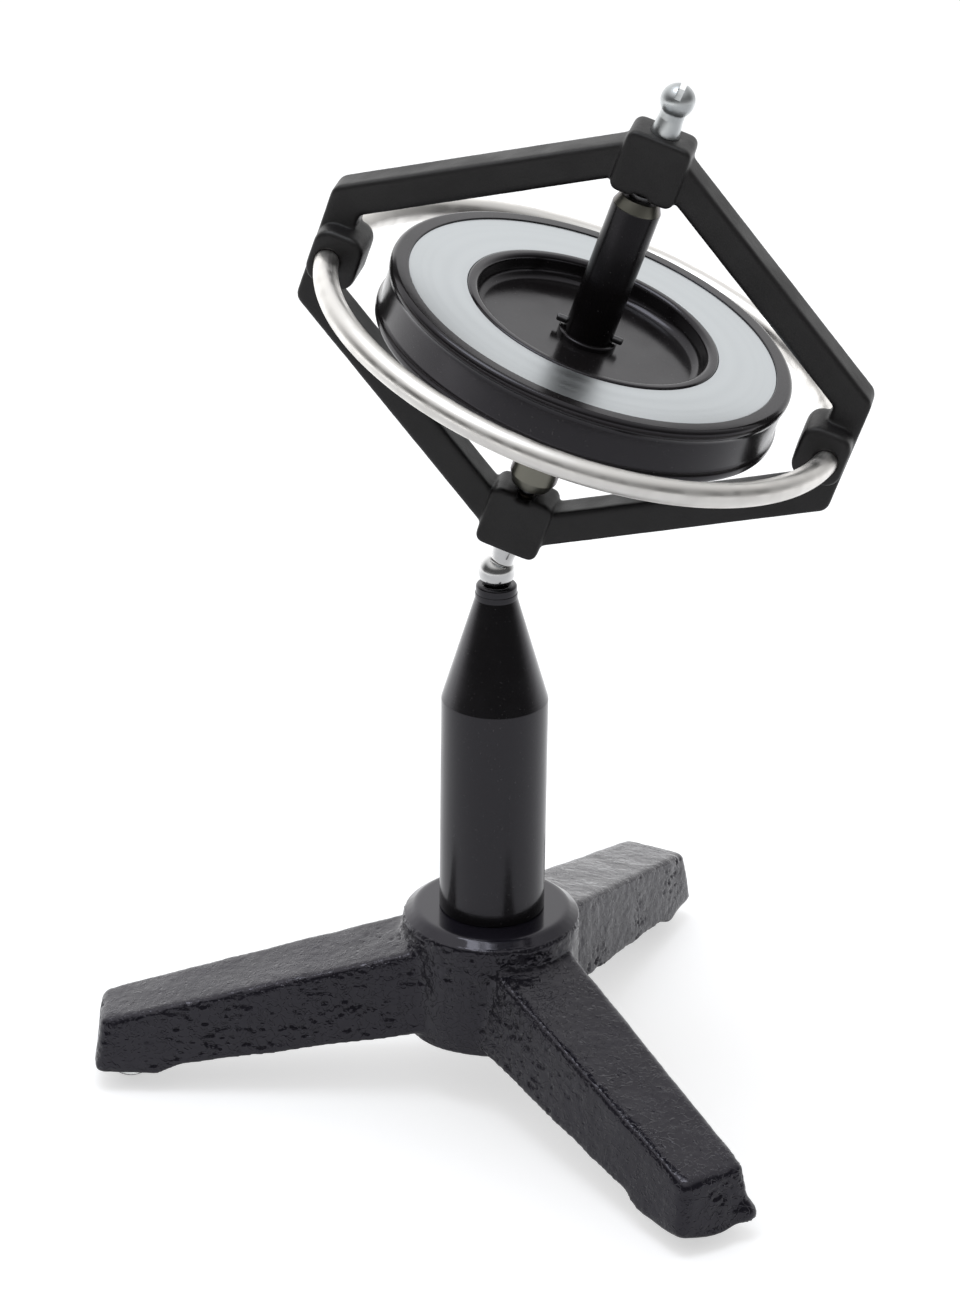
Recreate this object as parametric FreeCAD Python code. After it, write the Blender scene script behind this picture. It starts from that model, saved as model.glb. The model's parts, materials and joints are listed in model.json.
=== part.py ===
import FreeCAD, Part
import math
import os

# Demonstration gyroscope leaning on the ball pivot of a three-legged stand.
# Millimetres and degrees, +Z up. The origin is the column's axis at floor level.
# The stand is drawn in the part's frame. Gyroscope pieces are drawn upright about the
# gyroscope's own centre, with +X across the frame and +Y to its back, and are then leaned.

# ---- pose of the gyroscope on its pivot ----
LEAN = 18.8
LEAN_AZIMUTH = -19.0
FRAME_TURN = -11.2

# ---- fits ----
FIXED_FIT = 0.02
RUNNING_FIT = 0.05
END_PLAY = 0.1

# An edge or a face counts as being at a place when it is this near to it.
SAME_PLACE = 1e-3

# ---- feet ----
FOOT_PAD_RADIUS = 4.25
FOOT_PAD_HEIGHT = 3.5
FOOT_PAD_FLAT_RADIUS = 1.6
FOOT_PAD_INSET = 4.8

# ---- cast base ----
HUB_RADIUS = 15.1
HUB_CHAMFER_WIDTH = 2.0
HUB_CHAMFER_HEIGHT = 1.5
HUB_ABOVE_LEGS = 5.9
LEG_REACH = 67.2
LEG_TIP_HEIGHT = 9.5
LEG_TIP_WIDTH = 12.1
LEG_ROOT_WIDTH = 15.5
LEG_RISE = 13.3
FRONT_LEG_AZIMUTH = -57.3
LEG_SPACING_ANGLE = 120.0
CASTING_DRAFT = 7.4
ARCH_HEIGHT = 10.7
ARCH_END_HEIGHT = 2.1
HUB_CLEARANCE = 7.0
FOOT_LENGTH = 8.6
FOOT_RAMP_LENGTH = 5.0
FOOT_RAMP_ROUND = 6.0
LEG_TOP_ROUND = 1.0
LEG_TIP_ROUND = 1.8
LEG_BOTTOM_ROUND = 0.8
LEG_ROOT_FILLET = 1.8

# ---- column and its screw ----
COLUMN_RADIUS = 9.0
COLUMN_LENGTH = 39.1
COLUMN_SHOULDER_ROUND = 0.6
CONE_LENGTH = 18.3
CONE_TOP_RADIUS = 3.55
COLUMN_FOOT_CHAMFER = 0.4
LAND_LENGTH = 1.0
SCREW_RADIUS = 3.0
SCREW_LENGTH = 30.0
SCREW_HEAD_RADIUS = 5.0
SCREW_HEAD_HEIGHT = 6.0
SCREW_SOCKET_ACROSS = 5.0
SCREW_SOCKET_DEPTH = 3.0
SCREW_END_CHAMFER = 0.7
SCREW_HOLE_CLEARANCE = 0.3
TAPPED_HOLE_SPARE = 3.0
DRILL_POINT_ANGLE = 118.0
WASHER_RADIUS = 6.0
WASHER_THICKNESS = 1.6
WASHER_HOLE_CLEARANCE = 0.2
COUNTERBORE_CLEARANCE = 1.0
HEAD_RECESS = 0.4

# ---- pivot cup ----
CUP_RADIUS = 3.45
CUP_LIP_HEIGHT = 1.6
CUP_LIP_ROUND = 0.5
CUP_MOUTH_RADIUS = 2.5
CUP_STEM_RADIUS = 2.2
CUP_STEM_LENGTH = 5.0
CUP_SEAT_ANGLE = 120.0

# ---- ball studs ----
LOWER_BALL_RADIUS = 3.05
UPPER_BALL_RADIUS = 2.75
STUD_NECK_RADIUS = 2.0
STUD_ROOT_RADIUS = 2.4
STUD_SHANK_RADIUS = 2.0
STUD_SHANK_LENGTH = 4.2
STUD_NECK_LENGTH = 1.2
STRING_SLOT_WIDTH = 1.0
STRING_SLOT_DEPTH = 1.8

# ---- hexagonal frame ----
BALL_SPAN = 88.4
FRAME_HALF_WIDTH = 46.0
FRAME_SIDE_LENGTH = 20.2
APEX_TO_BALL = 5.4
BAR_WIDTH = 5.3
FRAME_DEPTH = 6.0
FRAME_CORNER_ROUND = 2.0
FRAME_INNER_ROUND = 1.2
FRAME_EDGE_ROUND = 0.5
BLOCK_WIDTH = 10.5
BLOCK_HEIGHT = 10.3
BLOCK_DEPTH = 8.0
BLOCK_TO_BALL = 5.9
BLOCK_CORNER_ROUND = 1.4
BLOCK_EDGE_ROUND = 0.4
GROOVE_WIDTH = 2.8
GROOVE_DEPTH = 0.8
BOSS_WIDTH = 8.0
BOSS_HEIGHT = 9.0
BOSS_STANDS_OUT = 3.85
BOSS_SET_IN = 0.3
BOSS_CORNER_ROUND = 2.4
BOSS_REAR_ROUND = 1.8
BOSS_EDGE_ROUND = 0.6

# ---- guard ring ----
RING_INSET = 2.8
RING_TUBE_RADIUS = 2.0
RING_DROP = 0.5
RING_JOINT_GAP = 0.2

# ---- bearings and spindle ----
BEARING_RADIUS = 2.1
BEARING_WALL = 0.9
BEARING_LENGTH = 4.6
BEARING_STANDS_OUT = 0.5
JOURNAL_LENGTH = 3.6
JOURNAL_POINT = 0.6
SPINDLE_RADIUS = 2.0
SPINDLE_TO_BLOCK = 0.3
SLEEVE_RADIUS = 4.0
SLEEVE_TO_BLOCK = 1.0
SLEEVE_TIP_RADIUS = 3.2
SLEEVE_TIP_LENGTH = 1.8
SLEEVE_EDGE_ROUND = 0.25

# ---- flywheel ----
WHEEL_RADIUS = 33.9
WHEEL_THICKNESS = 9.7
WHEEL_LIP_HEIGHT = 1.5
WHEEL_LIP_ROUND = 0.9
WHEEL_WAIST_DEPTH = 0.45
WEB_THICKNESS = 2.0
FACE_RING_OUTER_RADIUS = 31.1
FACE_RING_INNER_RADIUS = 21.2
FACE_RING_THICKNESS = 1.2
FACE_RING_BELOW_LIP = 0.2
RIDGE_WIDTH = 1.9
RIDGE_ROUND = 0.7
RECESS_CORNER = 1.3
COLLAR_RADIUS = 4.9
COLLAR_HEIGHT = 0.9
COLLAR_ROUND = 0.35
CROSS_PIN_RADIUS = 0.6
CROSS_PIN_HALF_LENGTH = 5.65
CROSS_PIN_ABOVE_COLLAR = 0.15

# ---- values worked out from the driving dimensions ----
FOOT_UNDERSIDE_Z = FOOT_PAD_HEIGHT
LEG_TIP_TOP_Z = FOOT_UNDERSIDE_Z + LEG_TIP_HEIGHT
LEG_ROOT_TOP_Z = LEG_TIP_TOP_Z + LEG_RISE
HUB_TOP_Z = LEG_ROOT_TOP_Z + HUB_ABOVE_LEGS
HUB_UNDERSIDE_Z = FOOT_UNDERSIDE_Z + HUB_CLEARANCE
FOOT_PAD_CENTRE = LEG_REACH - FOOT_PAD_INSET
LEG_AZIMUTHS = {
    "front": FRONT_LEG_AZIMUTH,
    "rear": FRONT_LEG_AZIMUTH + LEG_SPACING_ANGLE,
    "left": FRONT_LEG_AZIMUTH + 2 * LEG_SPACING_ANGLE,
}
COLUMN_SHOULDER_Z = HUB_TOP_Z + COLUMN_LENGTH
CONE_TOP_Z = COLUMN_SHOULDER_Z + CONE_LENGTH
COLUMN_TOP_Z = CONE_TOP_Z + LAND_LENGTH
CUP_RIM_Z = COLUMN_TOP_Z + CUP_LIP_HEIGHT
HEAD_UNDERSIDE_Z = HUB_UNDERSIDE_Z + HEAD_RECESS + SCREW_HEAD_HEIGHT
COUNTERBORE_TOP_Z = HEAD_UNDERSIDE_Z + WASHER_THICKNESS
SCREW_TOP_Z = HEAD_UNDERSIDE_Z + SCREW_LENGTH

# The ball touches the conical cup on a circle, and stands off it by the running fit.
CUP_SEAT_HALF_ANGLE = math.radians(CUP_SEAT_ANGLE / 2)
CUP_APEX_Z = CUP_RIM_Z - CUP_MOUTH_RADIUS / math.tan(CUP_SEAT_HALF_ANGLE)
BALL_SEAT_RADIUS = LOWER_BALL_RADIUS + RUNNING_FIT
BALL_CENTRE_Z = CUP_APEX_Z + BALL_SEAT_RADIUS / math.sin(CUP_SEAT_HALF_ANGLE)

HALF_SPAN = BALL_SPAN / 2
BLOCK_OUTER = HALF_SPAN - BLOCK_TO_BALL
BLOCK_INNER = BLOCK_OUTER - BLOCK_HEIGHT
GROOVE_FLOOR = BLOCK_INNER + GROOVE_DEPTH
RING_RADIUS = FRAME_HALF_WIDTH - RING_INSET
BEARING_INNER = GROOVE_FLOOR - BEARING_STANDS_OUT
BEARING_OUTER = BEARING_INNER + BEARING_LENGTH
JOURNAL_RADIUS = BEARING_RADIUS - BEARING_WALL
JOURNAL_END = BEARING_INNER + JOURNAL_LENGTH
SPINDLE_SHOULDER = BLOCK_INNER - SPINDLE_TO_BLOCK
SLEEVE_TIP = BLOCK_INNER - SLEEVE_TO_BLOCK
SLEEVE_END = SLEEVE_TIP - SLEEVE_TIP_LENGTH
WEB_HALF = WEB_THICKNESS / 2
WHEEL_HALF = WHEEL_THICKNESS / 2
COLLAR_TOP = WEB_HALF + COLLAR_HEIGHT
CROSS_PIN_LEVEL = COLLAR_TOP + CROSS_PIN_RADIUS + CROSS_PIN_ABOVE_COLLAR
RECESS_RADIUS = FACE_RING_INNER_RADIUS - RIDGE_WIDTH

X_AXIS = FreeCAD.Vector(1, 0, 0)
Y_AXIS = FreeCAD.Vector(0, 1, 0)
Z_AXIS = FreeCAD.Vector(0, 0, 1)
ORIGIN = FreeCAD.Vector(0, 0, 0)


def turned(points):
    """A solid turned about Z from a closed outline of (radius, height) points."""
    corners = [FreeCAD.Vector(r, 0, z) for r, z in points]
    outline = Part.makePolygon(corners + corners[:1])
    return Part.Face(outline).revolve(ORIGIN, Z_AXIS, 360)


def rounded(shape, radius, chosen):
    """The shape with each edge that the test picks rounded to the radius."""
    edges = [edge for edge in shape.Edges if chosen(edge)]
    return shape.makeFillet(radius, edges)


def is_circle(edge, radius, height):
    """True for a full or part circle of this radius about Z at this height."""
    curve = edge.Curve
    if not isinstance(curve, Part.Circle):
        return False
    same_radius = abs(curve.Radius - radius) < SAME_PLACE
    return same_radius and abs(curve.Center.z - height) < SAME_PLACE


def mirrored(shape):
    """The same piece at the other end of the gyroscope."""
    return shape.mirror(ORIGIN, Z_AXIS)


def planar_solid(corners, faces):
    """A solid bounded by flat faces, each a ring of corner names, anticlockwise from outside."""
    sides = []
    for ring in faces:
        points = [corners[name] for name in ring]
        sides.append(Part.Face(Part.makePolygon(points + points[:1])))
    return Part.Solid(Part.Shell(sides))


# ---------------------------------------------------------------- stand


def leg_half_width(reach, height):
    """Half the leg's width, which tapers outwards and widens downwards with the draft."""
    draft = math.tan(math.radians(CASTING_DRAFT))
    length = LEG_REACH - HUB_RADIUS
    taper = (LEG_ROOT_WIDTH / 2 - LEG_TIP_WIDTH / 2 + draft * LEG_RISE) / length
    return LEG_TIP_WIDTH / 2 + taper * (LEG_REACH - reach) + draft * (LEG_TIP_TOP_Z - height)


def leg_blank():
    """A leg along +X from the hub's axis to its tip, before the arch is taken out."""
    slope = LEG_RISE / (LEG_REACH - HUB_RADIUS)
    axis_top_z = LEG_TIP_TOP_Z + slope * LEG_REACH
    tip_bottom_reach = LEG_REACH + LEG_TIP_HEIGHT * math.tan(math.radians(CASTING_DRAFT))
    stations = {
        "root_top": (0, axis_top_z),
        "root_bottom": (0, FOOT_UNDERSIDE_Z),
        "tip_top": (LEG_REACH, LEG_TIP_TOP_Z),
        "tip_bottom": (tip_bottom_reach, FOOT_UNDERSIDE_Z),
    }
    corners = {}
    for name, (reach, height) in stations.items():
        half = leg_half_width(reach, height)
        corners[name + "_near"] = FreeCAD.Vector(reach, -half, height)
        corners[name + "_far"] = FreeCAD.Vector(reach, half, height)
    outline = ["root_top", "tip_top", "tip_bottom", "root_bottom"]
    faces = [[name + "_near" for name in reversed(outline)], [name + "_far" for name in outline]]
    for first, second in zip(outline, outline[1:] + outline[:1]):
        faces.append([first + "_near", second + "_near", second + "_far", first + "_far"])
    return planar_solid(corners, faces)


def arch_cutter():
    """What lies under the arch between the hub and the foot, across the whole leg."""
    foot_start = LEG_REACH - FOOT_PAD_INSET - FOOT_LENGTH / 2
    ramp_start = foot_start - FOOT_RAMP_LENGTH
    ramp_top_z = FOOT_UNDERSIDE_Z + ARCH_END_HEIGHT
    arch_top_z = FOOT_UNDERSIDE_Z + ARCH_HEIGHT
    below_z = FOOT_UNDERSIDE_Z - FOOT_PAD_HEIGHT
    points = [
        (-HUB_RADIUS, below_z),
        (-HUB_RADIUS, arch_top_z),
        (0, arch_top_z),
        (ramp_start, ramp_top_z),
        (foot_start, FOOT_UNDERSIDE_Z),
        (foot_start, below_z),
    ]
    near_side = -HUB_RADIUS
    far_side = HUB_RADIUS
    corners = [FreeCAD.Vector(x, near_side, z) for x, z in points]
    face = Part.Face(Part.makePolygon(corners + corners[:1]))
    cutter = face.extrude(Y_AXIS * (far_side - near_side))

    def is_ramp_top(edge):
        middle = edge.CenterOfMass
        return abs(middle.x - ramp_start) < SAME_PLACE and abs(middle.z - ramp_top_z) < SAME_PLACE

    return rounded(cutter, FOOT_RAMP_ROUND, is_ramp_top)


def leg():
    """One arched leg along +X."""
    blank = leg_blank()

    def is_tip_corner(edge):
        ends = [vertex.Point for vertex in edge.Vertexes]
        outer = all(point.x > LEG_REACH - SAME_PLACE for point in ends)
        return outer and abs(ends[0].z - ends[1].z) > LEG_TIP_HEIGHT / 2

    def is_top_edge(edge):
        ends = [vertex.Point for vertex in edge.Vertexes]
        high = all(point.z > LEG_TIP_TOP_Z - SAME_PLACE for point in ends)
        return high and any(point.x > LEG_REACH - LEG_TIP_ROUND - SAME_PLACE for point in ends)

    blank = rounded(blank, LEG_TIP_ROUND, is_tip_corner)
    blank = rounded(blank, LEG_TOP_ROUND, is_top_edge)

    def is_bottom_edge(edge):
        middle = edge.CenterOfMass
        low = middle.z < FOOT_UNDERSIDE_Z + SAME_PLACE
        return low and middle.x > LEG_REACH / 4

    blank = rounded(blank, LEG_BOTTOM_ROUND, is_bottom_edge)
    return blank.cut(arch_cutter())


def base_casting():
    """The cast hub with its three legs, bored and counterbored for the column's screw."""
    hub = turned(
        [
            (0, HUB_UNDERSIDE_Z),
            (HUB_RADIUS, HUB_UNDERSIDE_Z),
            (HUB_RADIUS, HUB_TOP_Z - HUB_CHAMFER_HEIGHT),
            (HUB_RADIUS - HUB_CHAMFER_WIDTH, HUB_TOP_Z),
            (0, HUB_TOP_Z),
        ]
    )
    one_leg = leg()
    legs = []
    for azimuth in LEG_AZIMUTHS.values():
        legs.append(one_leg.rotated(ORIGIN, Z_AXIS, azimuth))
    casting = hub.multiFuse(legs).removeSplitter()

    def is_root_corner(edge):
        if isinstance(edge.Curve, Part.Line):
            return False
        steep = edge.BoundBox.ZLength > LEG_RISE / 2
        middle = edge.valueAt((edge.FirstParameter + edge.LastParameter) / 2)
        return steep and abs(math.hypot(middle.x, middle.y) - HUB_RADIUS) < SAME_PLACE

    casting = rounded(casting, LEG_ROOT_FILLET, is_root_corner)
    shank_hole = Part.makeCylinder(SCREW_RADIUS + SCREW_HOLE_CLEARANCE, HUB_TOP_Z)
    counterbore = Part.makeCylinder(WASHER_RADIUS + COUNTERBORE_CLEARANCE, COUNTERBORE_TOP_Z)
    return casting.cut(shank_hole).cut(counterbore)


def foot_pad(azimuth):
    """A domed pad under a leg's tip, with a small flat where it stands."""
    run = FOOT_PAD_RADIUS - FOOT_PAD_FLAT_RADIUS
    dome_round = (run**2 + FOOT_PAD_HEIGHT**2) / (2 * run)
    half_turn = math.asin(FOOT_PAD_HEIGHT / dome_round) / 2
    arc_centre = FreeCAD.Vector(FOOT_PAD_RADIUS - dome_round, 0, FOOT_PAD_HEIGHT)
    arc_middle = arc_centre + FreeCAD.Vector(math.cos(half_turn), 0, -math.sin(half_turn)) * dome_round
    flat_edge = FreeCAD.Vector(FOOT_PAD_FLAT_RADIUS, 0, 0)
    top_edge = FreeCAD.Vector(FOOT_PAD_RADIUS, 0, FOOT_PAD_HEIGHT)
    top_centre = FreeCAD.Vector(0, 0, FOOT_PAD_HEIGHT)
    outline = Part.Wire(
        [
            Part.makeLine(ORIGIN, flat_edge),
            Part.Arc(flat_edge, arc_middle, top_edge).toShape(),
            Part.makeLine(top_edge, top_centre),
            Part.makeLine(top_centre, ORIGIN),
        ]
    )
    pad = Part.Face(outline).revolve(ORIGIN, Z_AXIS, 360)
    pad.translate(FreeCAD.Vector(FOOT_PAD_CENTRE, 0, 0))
    return pad.rotated(ORIGIN, Z_AXIS, azimuth)


def column():
    """The turned column: bar, cone and land, bored for the pivot cup and tapped below."""
    tapped_radius = SCREW_RADIUS + FIXED_FIT
    tapped_top_z = SCREW_TOP_Z + TAPPED_HOLE_SPARE
    drill_point_z = tapped_top_z + tapped_radius / math.tan(math.radians(DRILL_POINT_ANGLE / 2))
    stem_hole_radius = CUP_STEM_RADIUS + FIXED_FIT
    stem_hole_z = COLUMN_TOP_Z - CUP_STEM_LENGTH - END_PLAY
    bar = turned(
        [
            (0, drill_point_z),
            (tapped_radius, tapped_top_z),
            (tapped_radius, HUB_TOP_Z),
            (COLUMN_RADIUS - COLUMN_FOOT_CHAMFER, HUB_TOP_Z),
            (COLUMN_RADIUS, HUB_TOP_Z + COLUMN_FOOT_CHAMFER),
            (COLUMN_RADIUS, COLUMN_SHOULDER_Z),
            (CONE_TOP_RADIUS, CONE_TOP_Z),
            (CONE_TOP_RADIUS, COLUMN_TOP_Z),
            (stem_hole_radius, COLUMN_TOP_Z),
            (stem_hole_radius, stem_hole_z),
            (0, stem_hole_z),
        ]
    )
    return rounded(
        bar, COLUMN_SHOULDER_ROUND, lambda edge: is_circle(edge, COLUMN_RADIUS, COLUMN_SHOULDER_Z)
    )


def column_screw():
    """The socket head screw that holds the column down onto the hub."""
    bottom_z = HEAD_UNDERSIDE_Z - SCREW_HEAD_HEIGHT
    screw = turned(
        [
            (0, bottom_z),
            (SCREW_HEAD_RADIUS, bottom_z),
            (SCREW_HEAD_RADIUS, HEAD_UNDERSIDE_Z),
            (SCREW_RADIUS, HEAD_UNDERSIDE_Z),
            (SCREW_RADIUS, SCREW_TOP_Z - SCREW_END_CHAMFER),
            (SCREW_RADIUS - SCREW_END_CHAMFER, SCREW_TOP_Z),
            (0, SCREW_TOP_Z),
        ]
    )
    corner_radius = SCREW_SOCKET_ACROSS / 2 / math.cos(math.radians(30))
    corners = []
    for index in range(7):
        angle = math.radians(60 * index)
        corner_x = corner_radius * math.cos(angle)
        corner_y = corner_radius * math.sin(angle)
        corners.append(FreeCAD.Vector(corner_x, corner_y, bottom_z))
    socket = Part.Face(Part.makePolygon(corners)).extrude(Z_AXIS * SCREW_SOCKET_DEPTH)
    return screw.cut(socket)


def screw_washer():
    """The plain washer under the screw's head."""
    hole_radius = SCREW_RADIUS + WASHER_HOLE_CLEARANCE
    return turned(
        [
            (hole_radius, HEAD_UNDERSIDE_Z),
            (WASHER_RADIUS, HEAD_UNDERSIDE_Z),
            (WASHER_RADIUS, COUNTERBORE_TOP_Z),
            (hole_radius, COUNTERBORE_TOP_Z),
        ]
    )


def pivot_cup():
    """The pressed-in cup at the column's top, with a conical seat for the ball."""
    stem_bottom_z = COLUMN_TOP_Z - CUP_STEM_LENGTH
    cup = turned(
        [
            (0, stem_bottom_z),
            (CUP_STEM_RADIUS, stem_bottom_z),
            (CUP_STEM_RADIUS, COLUMN_TOP_Z),
            (CUP_RADIUS, COLUMN_TOP_Z),
            (CUP_RADIUS, CUP_RIM_Z),
            (CUP_MOUTH_RADIUS, CUP_RIM_Z),
            (0, CUP_APEX_Z),
        ]
    )
    return rounded(cup, CUP_LIP_ROUND, lambda edge: is_circle(edge, CUP_RADIUS, CUP_RIM_Z))


# ---------------------------------------------------------------- ball studs


def stud_body(ball_radius, shoulder_gap):
    """A stud below a ball at the origin, its shoulder this far clear of the block beneath."""
    joint_height = -math.sqrt(ball_radius**2 - STUD_NECK_RADIUS**2)
    neck_end = joint_height - STUD_NECK_LENGTH
    shoulder = shoulder_gap - BLOCK_TO_BALL
    shank_end = -BLOCK_TO_BALL - STUD_SHANK_LENGTH
    return turned(
        [
            (0, joint_height / 2),
            (STUD_NECK_RADIUS, joint_height / 2),
            (STUD_NECK_RADIUS, neck_end),
            (STUD_ROOT_RADIUS, shoulder),
            (STUD_SHANK_RADIUS, shoulder),
            (STUD_SHANK_RADIUS, shank_end),
            (0, shank_end),
        ]
    )


def lower_ball():
    """The ball that turns in the pivot cup."""
    ball = Part.makeSphere(LOWER_BALL_RADIUS)
    ball.translate(-Z_AXIS * HALF_SPAN)
    return ball


def lower_stud():
    """The stud that turns in the lower block and on the lower ball, hollowed to clear it."""
    stud = stud_body(LOWER_BALL_RADIUS, END_PLAY).cut(Part.makeSphere(BALL_SEAT_RADIUS))
    stud = mirrored(stud)
    stud.translate(-Z_AXIS * HALF_SPAN)
    return stud


def upper_stud():
    """The upper ball and stud in one piece, slotted across for a string."""
    ball = Part.makeSphere(UPPER_BALL_RADIUS)
    stud = stud_body(UPPER_BALL_RADIUS, 0).fuse(ball).removeSplitter()
    slot_floor = UPPER_BALL_RADIUS - STRING_SLOT_DEPTH
    slot = Part.makeBox(
        STRING_SLOT_WIDTH,
        4 * UPPER_BALL_RADIUS,
        2 * STRING_SLOT_DEPTH,
        FreeCAD.Vector(-STRING_SLOT_WIDTH / 2, -2 * UPPER_BALL_RADIUS, slot_floor),
    )
    stud = stud.cut(slot)
    stud.translate(Z_AXIS * HALF_SPAN)
    return stud


# ---------------------------------------------------------------- frame


def hexagon(inset, corner_round):
    """The frame's outline moved inwards by the inset, as a slab of the frame's depth."""
    half_side = FRAME_SIDE_LENGTH / 2
    apex = HALF_SPAN - APEX_TO_BALL
    slope = (apex - half_side) / FRAME_HALF_WIDTH
    width = FRAME_HALF_WIDTH - inset
    top = apex - inset * math.sqrt(1 + slope**2)
    shoulder = top - slope * width
    points = [(width, shoulder), (0, top), (-width, shoulder)]
    points += [(-x, -z) for x, z in points]
    corners = [FreeCAD.Vector(x, -FRAME_DEPTH / 2, z) for x, z in points]
    slab = Part.Face(Part.makePolygon(corners + corners[:1])).extrude(Y_AXIS * FRAME_DEPTH)

    def is_side_corner(edge):
        middle = edge.CenterOfMass
        return abs(middle.y) < SAME_PLACE and abs(middle.x) > FRAME_HALF_WIDTH / 2

    return rounded(slab, corner_round, is_side_corner)


def pivot_block():
    """The upper block of the frame, grooved towards the flywheel."""
    block = Part.makeBox(
        BLOCK_WIDTH,
        BLOCK_DEPTH,
        BLOCK_HEIGHT,
        FreeCAD.Vector(-BLOCK_WIDTH / 2, -BLOCK_DEPTH / 2, BLOCK_INNER),
    )
    block = rounded(block, BLOCK_CORNER_ROUND, lambda edge: edge.BoundBox.YLength > BLOCK_DEPTH / 2)
    block = rounded(block, BLOCK_EDGE_ROUND, lambda edge: edge.BoundBox.YLength < BLOCK_DEPTH / 2)
    groove = Part.makeBox(
        GROOVE_WIDTH,
        2 * BLOCK_DEPTH,
        2 * GROOVE_DEPTH,
        FreeCAD.Vector(-GROOVE_WIDTH / 2, -BLOCK_DEPTH, BLOCK_INNER - GROOVE_DEPTH),
    )
    return block.cut(groove)


def stud_seat():
    """What is cut off flat over the upper block, where the stud's shoulder sits."""
    corner = FreeCAD.Vector(-BLOCK_WIDTH / 2, -BLOCK_DEPTH / 2, BLOCK_OUTER)
    return Part.makeBox(BLOCK_WIDTH, BLOCK_DEPTH, BLOCK_TO_BALL, corner)


def block_holes(stud_fit):
    """The holes in the upper block for the bearing and, with this fit, the stud's shank."""
    stud_depth = STUD_SHANK_LENGTH + END_PLAY
    stud_hole = Part.makeCylinder(
        STUD_SHANK_RADIUS + stud_fit, stud_depth, Z_AXIS * (BLOCK_OUTER - stud_depth)
    )
    bearing_depth = BEARING_OUTER + END_PLAY - BEARING_INNER
    bearing_hole = Part.makeCylinder(
        BEARING_RADIUS + FIXED_FIT, bearing_depth, Z_AXIS * BEARING_INNER
    )
    return stud_hole.fuse(bearing_hole)


def right_boss():
    """The block on the frame's right side that grips the guard ring, flush at its back."""
    outer = FRAME_HALF_WIDTH - BOSS_SET_IN
    back = FRAME_DEPTH / 2
    front = -back - BOSS_STANDS_OUT
    boss = Part.makeBox(
        BOSS_WIDTH,
        back - front,
        BOSS_HEIGHT,
        FreeCAD.Vector(outer - BOSS_WIDTH, front, -BOSS_HEIGHT / 2),
    )
    boss = rounded(boss, BOSS_CORNER_ROUND, lambda edge: edge.BoundBox.YLength > BOSS_STANDS_OUT)

    def is_rear_inner_edge(edge):
        middle = edge.CenterOfMass
        return abs(middle.y - back) < SAME_PLACE and abs(middle.x - outer + BOSS_WIDTH) < SAME_PLACE

    boss = rounded(boss, BOSS_REAR_ROUND, is_rear_inner_edge)
    return rounded(boss, BOSS_EDGE_ROUND, lambda edge: edge.BoundBox.YMax < front + SAME_PLACE)


def frame_casting():
    """The hexagonal frame with its pivot blocks and ring bosses."""
    rim = hexagon(0, FRAME_CORNER_ROUND).cut(hexagon(BAR_WIDTH, FRAME_INNER_ROUND))

    def is_face_edge(edge):
        return edge.BoundBox.YLength < SAME_PLACE

    rim = rounded(rim, FRAME_EDGE_ROUND, is_face_edge)
    block = pivot_block()
    boss = right_boss()
    left_boss = boss.mirror(ORIGIN, X_AXIS)
    frame = rim.multiFuse([block, mirrored(block), boss, left_boss])
    seat = stud_seat()
    cuts = [
        seat,
        mirrored(seat),
        block_holes(FIXED_FIT),
        mirrored(block_holes(RUNNING_FIT)),
        ring_torus(RING_TUBE_RADIUS + FIXED_FIT),
    ]
    for cut in cuts:
        frame = frame.cut(cut)
    return frame


def ring_torus(tube_radius):
    """The guard ring's whole circle, or the hole for it."""
    return Part.makeTorus(RING_RADIUS, tube_radius, -Z_AXIS * RING_DROP)


def guard_ring_half(side):
    """Half of the guard ring, from boss to boss, on the front (-1) or back (1) side."""
    ring = ring_torus(RING_TUBE_RADIUS)
    reach = 2 * RING_RADIUS
    start_y = RING_JOINT_GAP / 2
    keep = Part.makeBox(
        2 * reach, reach, reach, FreeCAD.Vector(-reach, start_y, -reach / 2)
    )
    if side < 0:
        keep = keep.rotated(ORIGIN, Z_AXIS, 180)
    return ring.common(keep)


def upper_bearing():
    """The bush in the upper block, closed at its outer end, that the spindle runs in."""
    bore_radius = JOURNAL_RADIUS + RUNNING_FIT
    bore_end = JOURNAL_END + END_PLAY
    return turned(
        [
            (bore_radius, BEARING_INNER),
            (BEARING_RADIUS, BEARING_INNER),
            (BEARING_RADIUS, BEARING_OUTER),
            (0, BEARING_OUTER),
            (0, bore_end),
            (bore_radius, bore_end - JOURNAL_POINT),
        ]
    )


# ---------------------------------------------------------------- flywheel


def spindle():
    """The steel spindle, from journal to journal through the flywheel."""
    half = [
        (0, JOURNAL_END),
        (JOURNAL_RADIUS, JOURNAL_END - JOURNAL_POINT),
        (JOURNAL_RADIUS, SPINDLE_SHOULDER),
        (SPINDLE_RADIUS, SPINDLE_SHOULDER),
    ]
    other_half = [(radius, -height) for radius, height in reversed(half)]
    rod = turned(half + other_half)
    for level in (CROSS_PIN_LEVEL, -CROSS_PIN_LEVEL):
        rod = rod.cut(pin_rod(level, CROSS_PIN_RADIUS + FIXED_FIT))
    return rod


def pin_rod(level, radius):
    """A rod across the spindle at this level."""
    start = FreeCAD.Vector(-CROSS_PIN_HALF_LENGTH, 0, level)
    return Part.makeCylinder(radius, 2 * CROSS_PIN_HALF_LENGTH, start, X_AXIS)


def cross_pin():
    """The upper pin that drives the flywheel's sleeve."""
    pin = pin_rod(CROSS_PIN_LEVEL, CROSS_PIN_RADIUS)
    return rounded(pin, CROSS_PIN_RADIUS / 2, lambda edge: isinstance(edge.Curve, Part.Circle))


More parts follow.
